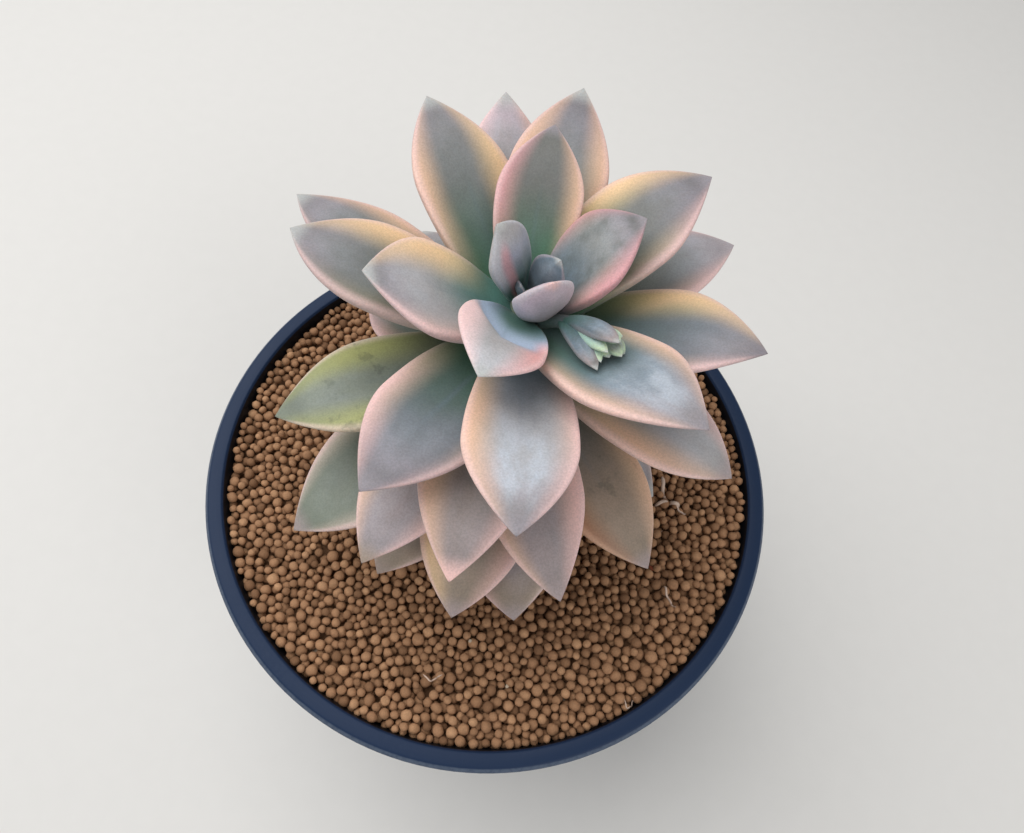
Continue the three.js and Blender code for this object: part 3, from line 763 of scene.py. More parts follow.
def spin_profile(bm, profile, sides):
    """Turns a profile of (radius, height) about the Z axis; points on the axis are merged."""
    verts = [bm.verts.new((radius, 0, height)) for radius, height in profile]
    edges = [bm.edges.new(pair) for pair in zip(verts, verts[1:])]
    bmesh.ops.spin(bm, geom=verts + edges, cent=(0, 0, 0), axis=(0, 0, 1), dvec=(0, 0, 0),
                   angle=TURN, steps=sides, use_merge=True, use_duplicate=False)
    bmesh.ops.remove_doubles(bm, verts=bm.verts, dist=WELD * MM)
    face_outwards(bm)


def smooth_step(value):
    share = min(max(value, 0.0), 1.0)
    return share * share * (3 - 2 * share)


def above_rim(point):
    x, y, height = point
    return Vector((x * MM, y * MM, pot_high.z + height * MM))


stem_foot = above_rim(STEM_FOOT)
stem_top = above_rim(STEM_TOP)
stem_axis = (stem_top - stem_foot).normalized()


def stem_point(height):
    share = (height - STEM_FOOT[2]) / (STEM_TOP[2] - STEM_FOOT[2])
    return stem_foot.lerp(stem_top, share)


def stem_radius(height):
    for (lower, lower_radius), (upper, upper_radius) in zip(STEM_PROFILE, STEM_PROFILE[1:]):
        if height <= upper:
            share = (height - lower) / (upper - lower)
            return (lower_radius + share * (upper_radius - lower_radius)) * MM
    return STEM_PROFILE[-1][1] * MM


# ---- Leaf form ----


def width_at(share, leaf, side):
    """Half width of the blade at a share of its length, from the neck to the pointed tip."""
    widest = leaf.get("widest", WIDEST_AT) - math.copysign(leaf.get("skew", 0), side)
    neck = leaf.get("neck", NECK)
    if share < widest:
        return neck + (1 - neck) * math.sin(math.pi / 2 * share / widest)
    return 1 - ((share - widest) / (1 - widest)) ** leaf.get("tip_power", TIP_POWER)


def thickness_at(share):
    filled = smooth_step(share / FULL_THICKNESS_AT)
    from_neck = NECK_THICKNESS + (1 - NECK_THICKNESS) * filled
    return from_neck * max(1 - share ** THIN_LATE, 0) ** THIN_POWER


def dish_at(share):
    """How fully the blade is dished at a share of its length: not at all at both ends."""
    fade = smooth_step((share - DISH_FADE_FROM) / DISH_FADE_LENGTH)
    return smooth_step(share / DISH_START) * (1 - fade)


def rise_at(share, leaf, u, v, depth, dish):
    """How far a point of the section lies above the midrib; u runs across it and v upwards."""
    upper_share = leaf.get("upper", UPPER_SHARE)
    if v > 0:
        rise = upper_share * depth * v ** UPPER_FULLNESS - dish * (1 - u * u)
        ridge = leaf.get("ridge", 0) * depth * (1 - abs(u))
        rise += ridge * smooth_step(share / RIDGE_FULL_AT)
        face = smooth_step((FACET_END - share - FACET_SLANT * max(u, 0)) / FACET_STEP)
        return rise - FACET_DEPTH * leaf.get("facet", 0) * depth * face * v
    keel = KEEL * smooth_step((share - KEEL_FROM) / KEEL_LENGTH)
    rounded = abs(v) ** LOWER_FULLNESS
    return -(1 - upper_share) * depth * (rounded + keel * ((1 - abs(u)) - rounded))


def bezier(points, share):
    first, middle, last = points
    back = 1 - share
    place = first * back * back + middle * 2 * back * share + last * share * share
    tangent = ((middle - first) * back + (last - middle) * share).normalized()
    return place, tangent


def midrib(base, tip, outward, axis, leaf):
    """The three points of a leaf's curved midrib and the direction across its blade."""
    chord = (tip - base).normalized()
    across = outward.cross(axis)
    across = (across - chord * across.dot(chord)).normalized()
    upward = across.cross(chord)
    middle = (base + tip) / 2 + upward * 2 * MM * leaf.get("arch", 0)
    middle += across * 2 * MM * leaf.get("sway", 0)
    return (base, middle, tip), across


def blade_bmesh(base, tip, outward, axis, leaf, around, along, seed):
    """A fleshy blade: a sphere drawn out along a curved midrib, dished above, rounded below."""
    width = leaf["width"] * MM
    thickness = width * leaf.get("thick", THICKNESS)
    roll = math.radians(leaf.get("roll", 0))
    route, across = midrib(base, tip, outward, axis, leaf)

    bm = bmesh.new()
    marks = [bm.verts.layers.float.new(name) for name in LEAF_MARKS]
    bmesh.ops.create_uvsphere(bm, u_segments=around, v_segments=along, radius=1.0)
    for vert in bm.verts:
        polar = math.acos(min(max(vert.co.z, -1.0), 1.0))
        share = ((1 - math.cos(polar)) / 2 + polar / math.pi) / 2
        ring = math.hypot(vert.co.x, vert.co.y)
        u = vert.co.x / ring if ring > 1e-5 else 0.0
        v = vert.co.y / ring if ring > 1e-5 else 0.0
        place, tangent = bezier(route, share)
        side = (across - tangent * across.dot(tangent)).normalized()
        up = side.cross(tangent)
        rolled_side = side * math.cos(roll) + up * math.sin(roll)
        rolled_up = up * math.cos(roll) - side * math.sin(roll)
        inside = 1 - min(share / END_ROUNDING, 1)
        end = math.sqrt(max(1 - inside * inside, 0))
        wave = noise.noise(Vector((share * 2.6, u * 0.9, seed)))
        half_width = width / 2 * width_at(share, leaf, u) * end * (1 + EDGE_WAVE * wave)
        depth = thickness * thickness_at(share) * end
        dish = leaf.get("dish", DISH) * width * thickness_at(share) * end * dish_at(share)
        rise = rise_at(share, leaf, u, v, depth, dish)
        rise += depth * FACE_WAVE * noise.noise(Vector((share * 4, u * 1.6, seed + 9)))
        vert.co = place + rolled_side * (u * half_width) + rolled_up * rise
        for mark, value in zip(marks, (share, u, float(v > 0))):
            vert[mark] = value
    face_outwards(bm)
    return bm


def leaf_bmesh(leaf, around, along, seed):
    tip = above_rim(leaf["tip"])
    root = stem_point(leaf["stem"])
    outward = tip - root
    if "facing" in leaf:
        angle = math.radians(leaf["facing"])
        outward = Vector((math.cos(angle), math.sin(angle), 0))
    outward = (outward - stem_axis * outward.dot(stem_axis)).normalized()
    base = root + outward * stem_radius(leaf["stem"]) * BASE_SEAT
    return blade_bmesh(base, tip, outward, stem_axis, leaf, around, along, seed)


def bract_bmesh(bract, around, along, seed):
    base, _ = bezier([above_rim(point) for point in STALK_ROUTE], bract["at"])
    tip = above_rim(bract["tip"])
    outward = tip - base
    outward.z = 0
    blade = {"thick": BRACT_THICKNESS, "upper": 0.5, "dish": 0, **bract}
    return blade_bmesh(base, tip, outward.normalized(), Vector((0, 0, 1)), blade, around, along,
                       seed)


class PLANT_OT_leaves(bpy.types.Operator):
    """Models every leaf of the rosette"""

    bl_idname = "plant.leaves"
    bl_label = "Leaves"

    def execute(self, context):
        settings = context.scene.plant_leaves
        for index, leaf in enumerate(LEAVES):
            name = f"leaf_{index + 1:02d}"
            bm = leaf_bmesh(leaf, settings.around, settings.along, index * 3.7)
            material = leaf_material(f"{name}_skin", leaf, settings)
            new_piece(f"{name}_blade", bm, material, [name])
        return {"FINISHED"}


class PLANT_OT_flower_stalk(bpy.types.Operator):
    """Models the young flower stalk with its bracts and buds"""

    bl_idname = "plant.flower_stalk"
    bl_label = "Flower Stalk"

    def execute(self, context):
        settings = context.scene.plant_leaves
        route = [above_rim(point) for point in STALK_ROUTE]
        bm = bmesh.new()
        marks = [bm.verts.layers.float.new(name) for name in LEAF_MARKS]
        bmesh.ops.create_uvsphere(bm, u_segments=20, v_segments=30, radius=1.0)
        for vert in bm.verts:
            share = math.acos(min(max(-vert.co.z, -1.0), 1.0)) / math.pi
            ring = math.hypot(vert.co.x, vert.co.y)
            place, tangent = bezier(route, share)
            side = tangent.cross(Vector((0, 0, 1))).normalized()
            round_out = min(ring * 2.2, 1.0) * STALK_RADIUS * MM / max(ring, 1e-5)
            vert.co = place + (side * vert.co.x + side.cross(tangent) * vert.co.y) * round_out
            vert[marks[0]] = share * 0.8
        face_outwards(bm)
        stalk = dict(tip=(20, 5, 74), skin="bract")
        new_piece("flower_stalk_stem", bm, leaf_material("stalk_skin", stalk, settings),
                  ["flower_stalk"])
        for kind, parts in (("bract", BRACTS), ("flower_bud", BUDS), ("small_bud", SMALL_BUDS)):
            for index, part in enumerate(parts):
                name = f"{kind}_{index + 1:02d}"
                bm = bract_bmesh(part, 28, 32, index * 2.1)
                material = leaf_material(f"{name}_skin", part, settings)
                replaced = [] if kind == "small_bud" else [name]
                new_piece(f"{name}_blade", bm, material, replaced)
        return {"FINISHED"}


# ---- Pot ----


def inner_wall_radius(pot, height):
    inner_rim = pot.rim_radius - pot.rim_band
    inner_foot = pot.foot_radius - pot.wall
    share = (height - pot.floor_top) / (pot.height - pot.floor_top)
    return inner_foot + share * (inner_rim - inner_foot)


def pot_profile(pot):
    """The moulded wall in section, from the axis under the floor round to the axis inside."""
    skirt_foot = pot.height - pot.skirt
    flange_under = pot.height - pot.wall
    rim_turn = pot.height - RIM_ROUNDING * MM
    corner = pot.floor_top + FLOOR_FILLET * MM
    return [
        (0, 0),
        (pot.pad_radius, 0),
        (pot.pad_radius + MM, pot.recess),
        (pot.ring_radius - MM, pot.recess),
        (pot.ring_radius, 0),
        (pot.foot_radius - MM, 0),
        (pot.foot_radius, 1.5 * MM),
        (inner_wall_radius(pot, flange_under) + pot.wall, flange_under),
        (pot.rim_radius - pot.skirt_wall, flange_under),
        (pot.rim_radius - pot.skirt_wall - 0.6 * MM, skirt_foot),
        (pot.rim_radius - pot.lip, skirt_foot),
        (pot.rim_radius, pot.height - 1.4 * pot.lip),
        (pot.rim_radius - pot.lip, pot.height - 0.15 * MM),
        (pot.rim_radius - 1.5 * pot.lip, pot.height),
        (pot.rim_radius - pot.rim_band + RIM_ROUNDING / 2 * MM, pot.height),
        (inner_wall_radius(pot, rim_turn), rim_turn),
        (inner_wall_radius(pot, corner), corner),
        (pot.foot_radius - pot.wall - FLOOR_FILLET * MM, pot.floor_top),
        (0, pot.floor_top),
    ]


def pot_material(pot):
    """Dark satin plastic with faint moulding lines and dust, a painted highlight on the lip's outer
    edge and painted shade inside the wall.
    """
    material, graph, shader = new_material("pot_plastic")
    ramp, fall, product = graph.ramp, graph.fall, graph.product
    top, rim, lip = pot.height, pot.rim_radius, pot.lip
    place = graph.place()
    grain = mottled(graph, place, 900.0, 28.0)
    x, y, height = graph.split(place)
    radius = graph.math("SQRT", graph.math("ADD", product(x, x), product(y, y)))
    lines = graph.noise(graph.join(product(radius, 2600.0), product(height, 1400.0), 0.0), 1.0)
    dust = product(ramp(grain["Broad"], 0.45, 0.8), ramp(grain["Fine"], 0.4, 0.7))
    scuff = product(ramp(lines, 0.55, 0.8), 0.07)
    # Painted highlight on the lip's rounded outer edge, where it catches the sky, in the pale scuff
    # colour.
    outer = product(ramp(radius, rim - 1.2 * lip, rim - 0.7 * lip),
                    ramp(height, top - 3 * lip, top - 2 * lip))
    lip_highlight = product(outer, ramp(grain["Fine"], 0.3, 0.6, 0.5, 0.9))
    amount = graph.math("ADD", graph.math("MULTIPLY_ADD", dust, 0.1, scuff), lip_highlight, clamp=True)
    colour = graph.mix(amount, pot.plastic, pot.scuff)
    # Painted shade darkens the inside of the wall. The inner wall leans outwards as it rises, so
    # the edge of this shade does too.
    start = inner_wall_radius(pot, 0)
    lean = (inner_wall_radius(pot, top) - start) / top
    within = graph.math("MULTIPLY_ADD", height, -lean, radius)
    inner = product(fall(within, start + 0.3 * MM, start + 0.6 * MM), ramp(height, 3 * MM, 4 * MM),
                    fall(height, top - 0.9 * MM, top - 0.6 * MM))
    finish(graph, shader, graph.mix(inner, colour, pot.inside),
           ramp(grain["Broad"], 0.2, 0.8, 0.42, 0.56),
           graph.math("MULTIPLY_ADD", lines, 0.6, grain["Fine"]), 0.03 * MM)
    shader["Specular IOR Level"].default_value = 0.2
    return material


class PLANT_OT_pot(bpy.types.Operator):
    """Models the round nursery pot with its rim, skirt, foot and drainage holes"""

    bl_idname = "plant.pot"
    bl_label = "Pot"

    def execute(self, context):
        pot = context.scene.plant_pot
        bm = bmesh.new()
        spin_profile(bm, pot_profile(pot), pot.sides)
        rings = [edge for edge in bm.edges
                 if edge.is_manifold and edge.calc_face_angle(0) > POT_ROUNDED_FROM
                 and abs(edge.verts[0].co.z - edge.verts[1].co.z) < LEVEL * MM]
        bmesh.ops.bevel(bm, geom=rings, offset=POT_ROUND * MM, offset_type="OFFSET",
                        affect="EDGES", segments=2, profile=0.5, material=-1, clamp_overlap=True)
        piece = new_piece("pot_shell", bm, pot_material(pot), ["pot"])
        self.drill(piece, pot)
        return {"FINISHED"}

    def drill(self, piece, pot):
        """Cuts the drainage holes, then keeps the cut mesh as the piece's own."""
        bm = bmesh.new()
        for index in range(pot.hole_count):
            angle = index / pot.hole_count * TURN
            place = Vector((math.cos(angle), math.sin(angle), 0)) * pot.hole_circle
            bmesh.ops.create_cone(bm, cap_ends=True, segments=32, radius1=pot.hole_radius,
                                  radius2=pot.hole_radius, depth=8 * pot.floor_top,
                                  matrix=Matrix.Translation(place))
        cutter = show("hole_cutter", new_mesh("hole_cutter", bm))
        holes = piece.modifiers.new("holes", "BOOLEAN")
        holes.operation = "DIFFERENCE"
        holes.solver = "EXACT"
        holes.object = cutter
        piece.data = made_mesh(piece)
        piece.modifiers.clear()
        bpy.data.objects.remove(cutter)
        bm = bmesh.new()
        bm.from_mesh(piece.data)
        bmesh.ops.triangulate(bm, faces=bm.faces)
        bmesh.ops.dissolve_degenerate(bm, dist=WELD * MM, edges=bm.edges)
        bm.to_mesh(piece.data)
        bm.free()
        piece.data.shade_smooth()
        piece.data.set_sharp_from_angle(angle=POT_CREASE)


# ---- Soil ----


def clay_material(pellets, name="clay_pellet"):
    """Matt baked clay, with each pellet's own shade and a fine sandy grain."""
    material, graph, shader = new_material(name)
    grain = mottled(graph, graph.place(), 2600.0, 420.0)
    tint = graph.attribute("tint")
    colour = graph.mix(graph.ramp(tint, 0.0, 0.5), pellets.dark, pellets.clay)
    colour = graph.mix(graph.ramp(tint, 0.5, 1.0), colour, pellets.pale)
    colour = graph.shaded(colour, grain["Fine"], 0.25, 0.75, 0.82, 1.12)
    stain = graph.product(graph.ramp(grain["Broad"], 0.5, 0.75), 0.35)
    finish(graph, shader, graph.mix(stain, colour, pellets.dark),
           graph.ramp(grain["Fine"], 0.2, 0.8, 0.78, 0.95), grain["Fine"], 0.12 * MM)
    shader["Specular IOR Level"].default_value = 0.3
    return material


class PelletHeap:
    """Pellets that have come to rest, with a quick search for those near a place."""

    def __init__(self, cell, floor):
        self.cell = cell
        self.floor = floor
        self.cells = {}
        self.resting = []

    def near(self, x, y):
        column, row = int(x // self.cell), int(y // self.cell)
        for near_column in (column - 1, column, column + 1):
            for near_row in (row - 1, row, row + 1):
                yield from self.cells.get((near_column, near_row), ())

    def rest_height(self, x, y, radius):
        height = self.floor + radius
        for other_x, other_y, other_z, other_radius in self.near(x, y):
            reach = radius + other_radius
            gap = (x - other_x) ** 2 + (y - other_y) ** 2
            if gap < reach * reach:
                height = max(height, other_z + math.sqrt(reach * reach - gap))
        return height

    def add(self, x, y, z, radius):
        pellet = (x, y, z, radius)
        self.resting.append(pellet)
        self.cells.setdefault((int(x // self.cell), int(y // self.cell)), []).append(pellet)


def settle_pellets(pot, pellets):
    """Drops pellets one by one; each rolls down from where it lands, and the lowest place wins."""
    draw = random.Random(pellets.seed)
    surface = soil_high.z + PELLET_RISE * MM
    heap = PelletHeap(pellets.large, soil_high.z - pellets.bed_drop)
    refused = 0
    while refused < PELLET_PATIENCE and len(heap.resting) < pellets.most:
        radius = draw.triangular(pellets.small, pellets.large, pellets.usual) / 2
        wall = inner_wall_radius(pot, surface) - PELLET_WALL_GAP * MM - radius
        best = None
        for attempt in range(pellets.tries):
            distance = math.sqrt(draw.random()) * wall if attempt else wall
            angle = draw.random() * TURN
            x, y = distance * math.cos(angle), distance * math.sin(angle)
            if is_clear(x, y, radius, wall):
                spot = roll_down(heap, x, y, radius, wall)
                if best is None or spot[2] < best[2]:
                    best = spot
        if best is None:
            refused += 1
            continue
        x, y, height = best
        swell = pellets.swell * noise.noise(Vector((x, y, 0)) * 45)
        swell += PELLET_EDGE_RISE * MM * smooth_step(math.hypot(x, y) / wall * 4 - 3)
        slope = pellets.slope * (x - y) / pot.rim_radius / 2
        if height > surface + swell + slope - radius:
            refused += 1
            continue
        refused = 0
        heap.add(x, y, height, radius)
    return heap.resting, draw


def is_clear(x, y, radius, wall):
    """Whether a pellet there keeps off both the wall and the stem."""
    from_stem = math.hypot(x - stem_foot.x, y - stem_foot.y - PELLET_STEM_SHIFT * MM)
    clear_of_stem = from_stem > stem_radius(STEM_FOOT[2]) + MM + radius
    return math.hypot(x, y) < wall + 0.01 * MM and clear_of_stem


def roll_down(heap, x, y, radius, wall):
    """Moves a pellet outwards, inwards or round the pot for as long as that lets it lie lower."""
    height = heap.rest_height(x, y, radius)
    step = radius * ROLL_STEP
    for _ in range(ROLL_ROUNDS):
        moved = False
        distance = max(math.hypot(x, y), step)
        out_x, out_y = x / distance * step, y / distance * step
        for side_x, side_y in ((out_x, out_y), (-out_x, -out_y), (-out_y, out_x), (out_y, -out_x)):
            new_x, new_y = x + side_x, y + side_y
            held = min(wall / math.hypot(new_x, new_y), 1.0)
            new_x, new_y = new_x * held, new_y * held
            lower = heap.rest_height(new_x, new_y, radius)
            if lower < height and is_clear(new_x, new_y, radius, wall):
                x, y, height, moved = new_x, new_y, lower, True
        if not moved:
            step *= 0.5
    return x, y, height


class PLANT_OT_soil(bpy.types.Operator):
    """Models the bed of clay pellets"""

    bl_idname = "plant.soil"
    bl_label = "Clay Pellets"

    def execute(self, context):
        pot = context.scene.plant_pot
        pellets = context.scene.plant_pellets
        self.bed(pot, pellets)
        resting, draw = settle_pellets(pot, pellets)
        material = clay_material(pellets)
        resting.sort(key=lambda pellet: pellet[2])
        layers = ("pellets_low", "pellets_middle", "pellets_top")
        share = len(resting) // len(layers) + 1
        for place, name in enumerate(layers):
            part = resting[place * share:(place + 1) * share]
            self.layer(name, part, draw, material, pellets.shapes)
        return {"FINISHED"}

    def bed(self, pot, pellets):
        """The close-packed soil under the loose pellets, down to the pot's floor."""
        top = soil_high.z - pellets.bed_drop
        gap = 0.4 * MM
        low = pot.floor_top + gap
        corner = low + 3 * MM
        profile = [(0, low), (inner_wall_radius(pot, low) - 3.4 * MM, low),
                   (inner_wall_radius(pot, corner) - gap, corner),
                   (inner_wall_radius(pot, top) - gap, top), (0, top)]
        bm = bmesh.new()
        spin_profile(bm, profile, 96)
        # The bed has no tint, so it takes the dark clay colour: painted shade in the gaps between
        # the loose pellets.
        material = clay_material(pellets, "soil_bed_clay_in_shade")
        new_piece("soil_bed", bm, material, ["soil"], math.radians(40))

    def pellet_shape(self, number):
        """A round of a few dozen faces, pushed in and out a little as rolled clay is."""
        bm = bmesh.new()
        bmesh.ops.create_icosphere(bm, subdivisions=2, radius=1.0)
        for vert in bm.verts:
            vert.co *= 1 + 0.16 * noise.noise(vert.co * 1.3 + Vector((number * 5.1, 0, 0)))
        return new_mesh("pellet_shape", bm)

    def layer(self, name, resting, draw, material, shapes):
        """One mesh of many pellets, each an uneven round of a few dozen faces."""
        rounds = [self.pellet_shape(number) for number in range(shapes)]
        corners = len(rounds[0].vertices)
        bm = bmesh.new()
        tints = []
        for x, y, z, radius in resting:
            size = [radius * draw.uniform(*spread) for spread in PELLET_SPREADS]
            shape = Matrix.Diagonal((*size, 1))
            turn = Matrix.Rotation(draw.random() * TURN, 4, (draw.gauss(0, 1), draw.gauss(0, 1), 1))
            matrix = Matrix.Translation((x, y, z)) @ turn @ shape
            pellet = draw.choice(rounds)
            pellet.transform(matrix)
            bm.from_mesh(pellet)
            pellet.transform(matrix.inverted())
            tints.extend([min(max(draw.gauss(0.5, 0.22), 0), 1)] * corners)
        mesh = new_mesh(name, bm)
        for pellet in rounds:
            bpy.data.meshes.remove(pellet)
        mesh.attributes.new("tint", "FLOAT", "POINT").data.foreach_set("value", tints)
        mesh.shade_smooth()
        place_piece(name, mesh, material, ["soil"])


# ---- Stem ----


def bark_material(palette):
    """Dull bark below that turns to the green of the shoot higher up."""
    material, graph, shader = new_material("stem_bark")
    place = graph.place()
    grain = mottled(graph, place, 900.0, 130.0)
    _, _, above_base = graph.split(place)
    height = graph.math("MULTIPLY_ADD", grain["Broad"], 0.02, above_base)
    green = graph.ramp(height, pot_high.z, pot_high.z + 60 * MM)
    colour = graph.mix(green, palette.bark, palette.shoot)
    finish(graph, shader, graph.shaded(colour, grain["Fine"], 0.25, 0.75, 0.75, 1.1),
           graph.ramp(grain["Fine"], 0.2, 0.8, 0.7, 0.9), grain["Fine"], 0.25 * MM)
    return material


class PLANT_OT_stem(bpy.types.Operator):
    """Models the leaning stem with its rootstock and main roots"""

    bl_idname = "plant.stem"
    bl_label = "Stem"

    def execute(self, context):
        palette = context.scene.plant_leaves
        bm = bmesh.new()
        self.shoot(bm)
        self.roots(bm)
        stem = new_piece("stem_and_roots", bm, bark_material(palette), ["stem"])
        blend = stem.modifiers.new("grown_together", "REMESH")
        blend.mode = "VOXEL"
        blend.voxel_size = STEM_GRID * MM
        blend.use_smooth_shade = True
        stem.data = made_mesh(stem)
        stem.modifiers.clear()
        self.weather(stem.data)
        return {"FINISHED"}

    def shoot(self, bm):
        length = (stem_top - stem_foot).length
        per_height = length / (STEM_TOP[2] - STEM_FOOT[2])
        profile = [(0, -STEM_SUNK * MM), (STEM_PROFILE[0][1] * MM, -STEM_SUNK * MM)]
        profile += [(radius * MM, (height - STEM_FOOT[2]) * per_height)
                    for height, radius in STEM_PROFILE]
        profile.append((0, length + 0.8 * MM))
        start = len(bm.verts)
        spin_profile(bm, profile, 32)
        turn = Vector((0, 0, 1)).rotation_difference(stem_axis).to_matrix().to_4x4()
        bm.verts.ensure_lookup_table()
        bmesh.ops.transform(bm, matrix=Matrix.Translation(stem_foot) @ turn, verts=bm.verts[start:])

    def roots(self, bm):
        depth = ROOTSTOCK_DEPTH * MM
        low = Matrix.Translation(stem_foot + Vector((0, 0, MM - depth / 2)))
        bmesh.ops.create_cone(bm, cap_ends=True, segments=24, radius1=2.5 * MM, radius2=6.5 * MM,
                              depth=depth, matrix=low)
        for index in range(ROOT_COUNT):
            turn = index / ROOT_COUNT * TURN + ROOT_TURN
            level_out = math.cos(ROOT_DIP)
            direction = Vector((math.cos(turn) * level_out, math.sin(turn) * level_out,
                                -math.sin(ROOT_DIP)))
            level = ROOTSTOCK_DEPTH * (ROOT_FIRST_LEVEL + ROOT_LEVEL_STEP * index) * MM
            start = stem_foot - Vector((0, 0, level))
            lie = Vector((0, 0, 1)).rotation_difference(direction).to_matrix().to_4x4()
            centre = Matrix.Translation(start + direction * ROOT_LENGTH * MM / 2)
            bmesh.ops.create_cone(bm, cap_ends=True, segments=14, radius1=2 * MM, radius2=0.9 * MM,
                                  depth=ROOT_LENGTH * MM, matrix=centre @ lie)

    def weather(self, mesh):
        """Shallow ridges round the stem, as old leaf scars leave, and a gently uneven bark."""
        for vert in mesh.vertices:
            along = (vert.co - stem_foot).dot(stem_axis)
            core = stem_foot + stem_axis * along
            away = vert.co - core
            if along < 0 or away.length < MM:
                continue
            scars = along / (SCAR_SPACE * MM) * TURN / 2 + math.atan2(away.y, away.x) * 2
            swell = SCAR_HEIGHT * math.sin(scars) + BARK_HEIGHT * noise.noise(vert.co * 260)
            vert.co += away.normalized() * swell * MM
        mesh.shade_smooth()


# ---- Loose bits on the pellets ----


def dry_material(name, colour):
    """Papery dry plant matter."""
    material, graph, shader = new_material(name)
    grain = mottled(graph, graph.place(), 1500.0, 240.0)
    finish(graph, shader, graph.shaded(colour, grain["Broad"], 0.25, 0.75, 0.7, 1.1),
           graph.ramp(grain["Fine"], 0.2, 0.8, 0.7, 0.9), grain["Fine"], 0.1 * MM)
    return material


class PLANT_OT_litter(bpy.types.Operator):
    """Models the dried root fibres and specks that lie on the pellets"""

    bl_idname = "plant.litter"
    bl_label = "Dried Roots and Specks"

    def execute(self, context):
        pellets = context.scene.plant_pellets
        self.fibres(context, dry_material("dried_root", pellets.fibre))
        draw = random.Random(pellets.seed + 1)
        for tone, name in (("speck", "pale_specks"), ("flake", "dried_petal")):
            bm = bmesh.new()
            for x, y, radius, stretch, own in SPECKS:
                if own == tone:
                    place = self.on_pellets(context, x, y) + Vector((0, 0, radius * 0.3 * MM))
                    turn = Matrix.Rotation(draw.random() * TURN, 4, "Z")
                    size = (radius * stretch * MM, radius * MM, radius * 0.6 * MM, 1)
                    matrix = Matrix.Translation(place) @ turn @ Matrix.Diagonal(size)
                    bmesh.ops.create_icosphere(bm, subdivisions=3, radius=1.0, matrix=matrix)
            material = dry_material(f"dry_{tone}", getattr(pellets, tone))
            new_piece(name, bm, material)
        return {"FINISHED"}

    def on_pellets(self, context, x, y):
        """The place on top of the pellets at x and y millimetres."""
        start = Vector((x * MM, y * MM, pot_high.z + 3 * MM))
        hit, place, *_ = context.scene.ray_cast(context.view_layer.depsgraph, start, (0, 0, -1))
        if not hit:
            raise RuntimeError(f"no pellets at {x}, {y}")
        return place

    def fibres(self, context, material):
        """Thin roots that lie over the tops of the pellets and sag a little between them."""
        curve = bpy.data.curves.new("fibres", "CURVE")
        curve.dimensions = "3D"
        curve.bevel_depth = MM
        curve.bevel_resolution = 3
        curve.resolution_u = 6
        curve.use_fill_caps = True
        for radius, route in FIBRES:
            places = []
            for (from_x, from_y), (to_x, to_y) in zip(route, route[1:]):
                steps = max(round(math.dist((from_x, from_y), (to_x, to_y)) / FIBRE_STEP), 1)
                for step in range(steps):
                    x = from_x + (to_x - from_x) * step / steps
                    y = from_y + (to_y - from_y) * step / steps
                    places.append(self.on_pellets(context, x, y))
            heights = [place.z for place in places]
            spline = curve.splines.new("BEZIER")
            spline.bezier_points.add(len(places) - 1)
            for index, (point, place) in enumerate(zip(spline.bezier_points, places)):
                near = heights[max(index - 1, 0):index + 2]
                point.co = (place.x, place.y, (max(near) + place.z) / 2 + radius * 0.6 * MM)
                point.handle_left_type = point.handle_right_type = "AUTO"
                point.radius = radius if 0 < index < len(places) - 1 else radius * 0.4
        shape = show("fibre_curve", curve)
        mesh = made_mesh(shape)
        bpy.data.objects.remove(shape)
        mesh.shade_smooth()
        mesh.materials.clear()
        place_piece("dried_roots", mesh, material)


# ---- Stage ----


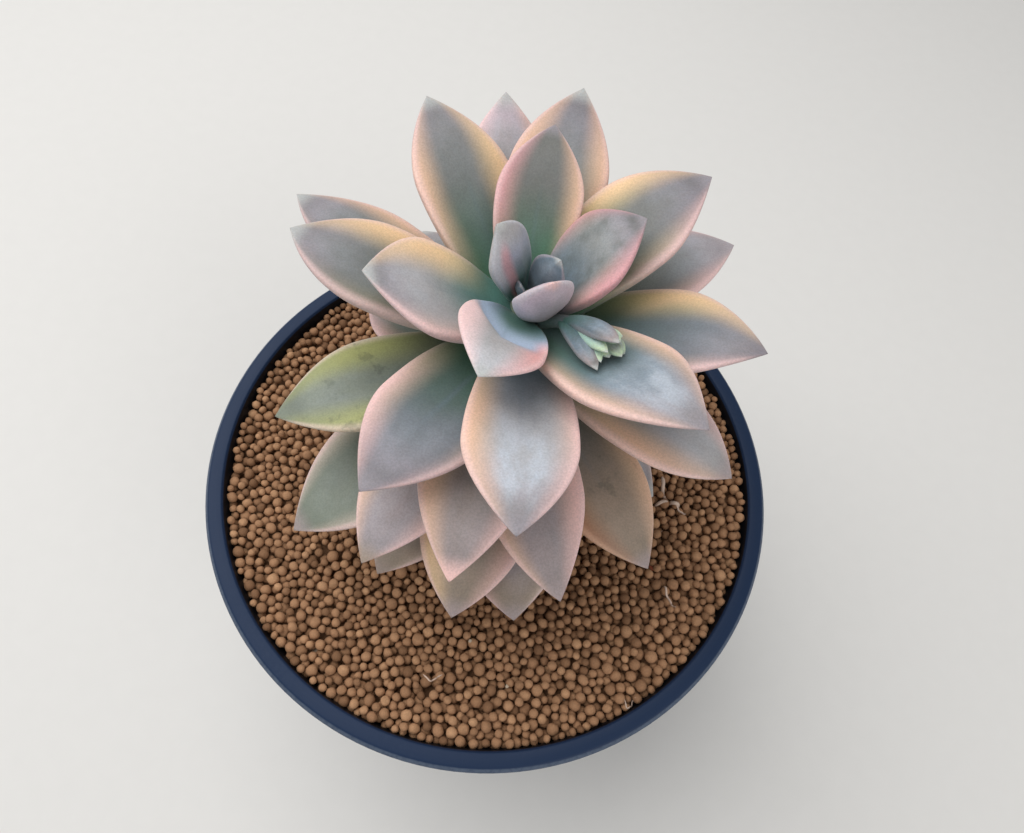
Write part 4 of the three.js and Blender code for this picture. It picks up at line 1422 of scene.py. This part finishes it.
class PLANT_OT_stage(bpy.types.Operator):
    """Sets up the pale floor, the soft light and the camera"""

    bl_idname = "plant.stage"
    bl_label = "Stage"

    def execute(self, context):
        stage = context.scene.plant_stage
        context.scene.view_settings.view_transform = "Standard"
        self.camera(stage)
        self.floor(stage)
        self.sky(stage)
        self.light("overhead", stage.key_power, (-0.4, 0.2, 0.9), 1.0)
        self.light("side", stage.fill_power, (0.6, -0.6, 0.7), 0.7)
        return {"FINISHED"}

    def camera(self, stage):
        data = bpy.data.cameras.new("camera")
        data.lens = stage.camera_lens
        data.sensor_width = 36
        data.clip_start = 0.01
        ahead = Vector((0, math.cos(stage.camera_dip), -math.sin(stage.camera_dip)))
        level_up = Vector((0, math.sin(stage.camera_dip), math.cos(stage.camera_dip)))
        level_right = Vector((1, 0, 0))
        roll = stage.camera_roll
        right = level_right * math.cos(roll) + level_up * math.sin(roll)
        up = level_up * math.cos(roll) - level_right * math.sin(roll)
        matrix = Matrix((right, up, -ahead)).transposed().to_4x4()
        matrix.translation = Vector(stage.camera_place)
        camera = show("camera", data)
        camera.matrix_world = matrix
        bpy.context.scene.camera = camera

    def floor(self, stage):
        bm = bmesh.new()
        bmesh.ops.create_grid(bm, x_segments=2, y_segments=2, size=4.0)
        mesh = new_mesh("floor", bm)
        material, graph, shader = new_material("pale_floor")
        grain = graph.noise(graph.place(), 120.0, 3.0)
        graph.feed(shader["Base Color"], graph.shaded(stage.floor, grain, 0.2, 0.8, 0.985, 1.0))
        shader["Roughness"].default_value = 0.85
        mesh.materials.append(material)
        floor = show("floor", mesh)

    def sky(self, stage):
        world = bpy.data.worlds.new("soft_sky")
        world.use_nodes = True
        background = world.node_tree.nodes["Background"]
        background.inputs["Color"].default_value = stage.sky
        background.inputs["Strength"].default_value = stage.sky_strength
        bpy.context.scene.world = world

    def light(self, name, power, place, size):
        data = bpy.data.lights.new(name, "AREA")
        data.energy = power
        data.size = size
        light = show(name, data)
        light.location = place
        towards = Vector((0, 0, pot_high.z)) - Vector(place)
        light.rotation_euler = towards.to_track_quat("-Z", "Y").to_euler()


class PLANT_PT_panel(bpy.types.Panel):
    """Lists the steps that build the plant"""

    bl_idname = "PLANT_PT_panel"
    bl_label = "Ghost Plant"
    bl_space_type = "VIEW_3D"
    bl_region_type = "UI"
    bl_category = "Ghost Plant"

    def draw(self, context):
        for step in STEPS:
            self.layout.operator(step.bl_idname)


STEPS = (PLANT_OT_stage, PLANT_OT_pot, PLANT_OT_soil, PLANT_OT_stem, PLANT_OT_leaves,
         PLANT_OT_flower_stalk, PLANT_OT_litter)
SETTINGS = {"plant_pot": PotSettings, "plant_pellets": PelletSettings,
            "plant_leaves": LeafSettings, "plant_stage": StageSettings}


def register():
    for cls in (*SETTINGS.values(), *STEPS, PLANT_PT_panel):
        bpy.utils.register_class(cls)
    for name, cls in SETTINGS.items():
        setattr(bpy.types.Scene, name, PointerProperty(type=cls))


def unregister():
    for name in SETTINGS:
        delattr(bpy.types.Scene, name)
    for cls in (PLANT_PT_panel, *reversed(STEPS), *reversed(SETTINGS.values())):
        bpy.utils.unregister_class(cls)


def main():
    register()
    for step in STEPS:
        group, name = step.bl_idname.split(".")
        getattr(getattr(bpy.ops, group), name)()


if __name__ == "__main__":
    main()
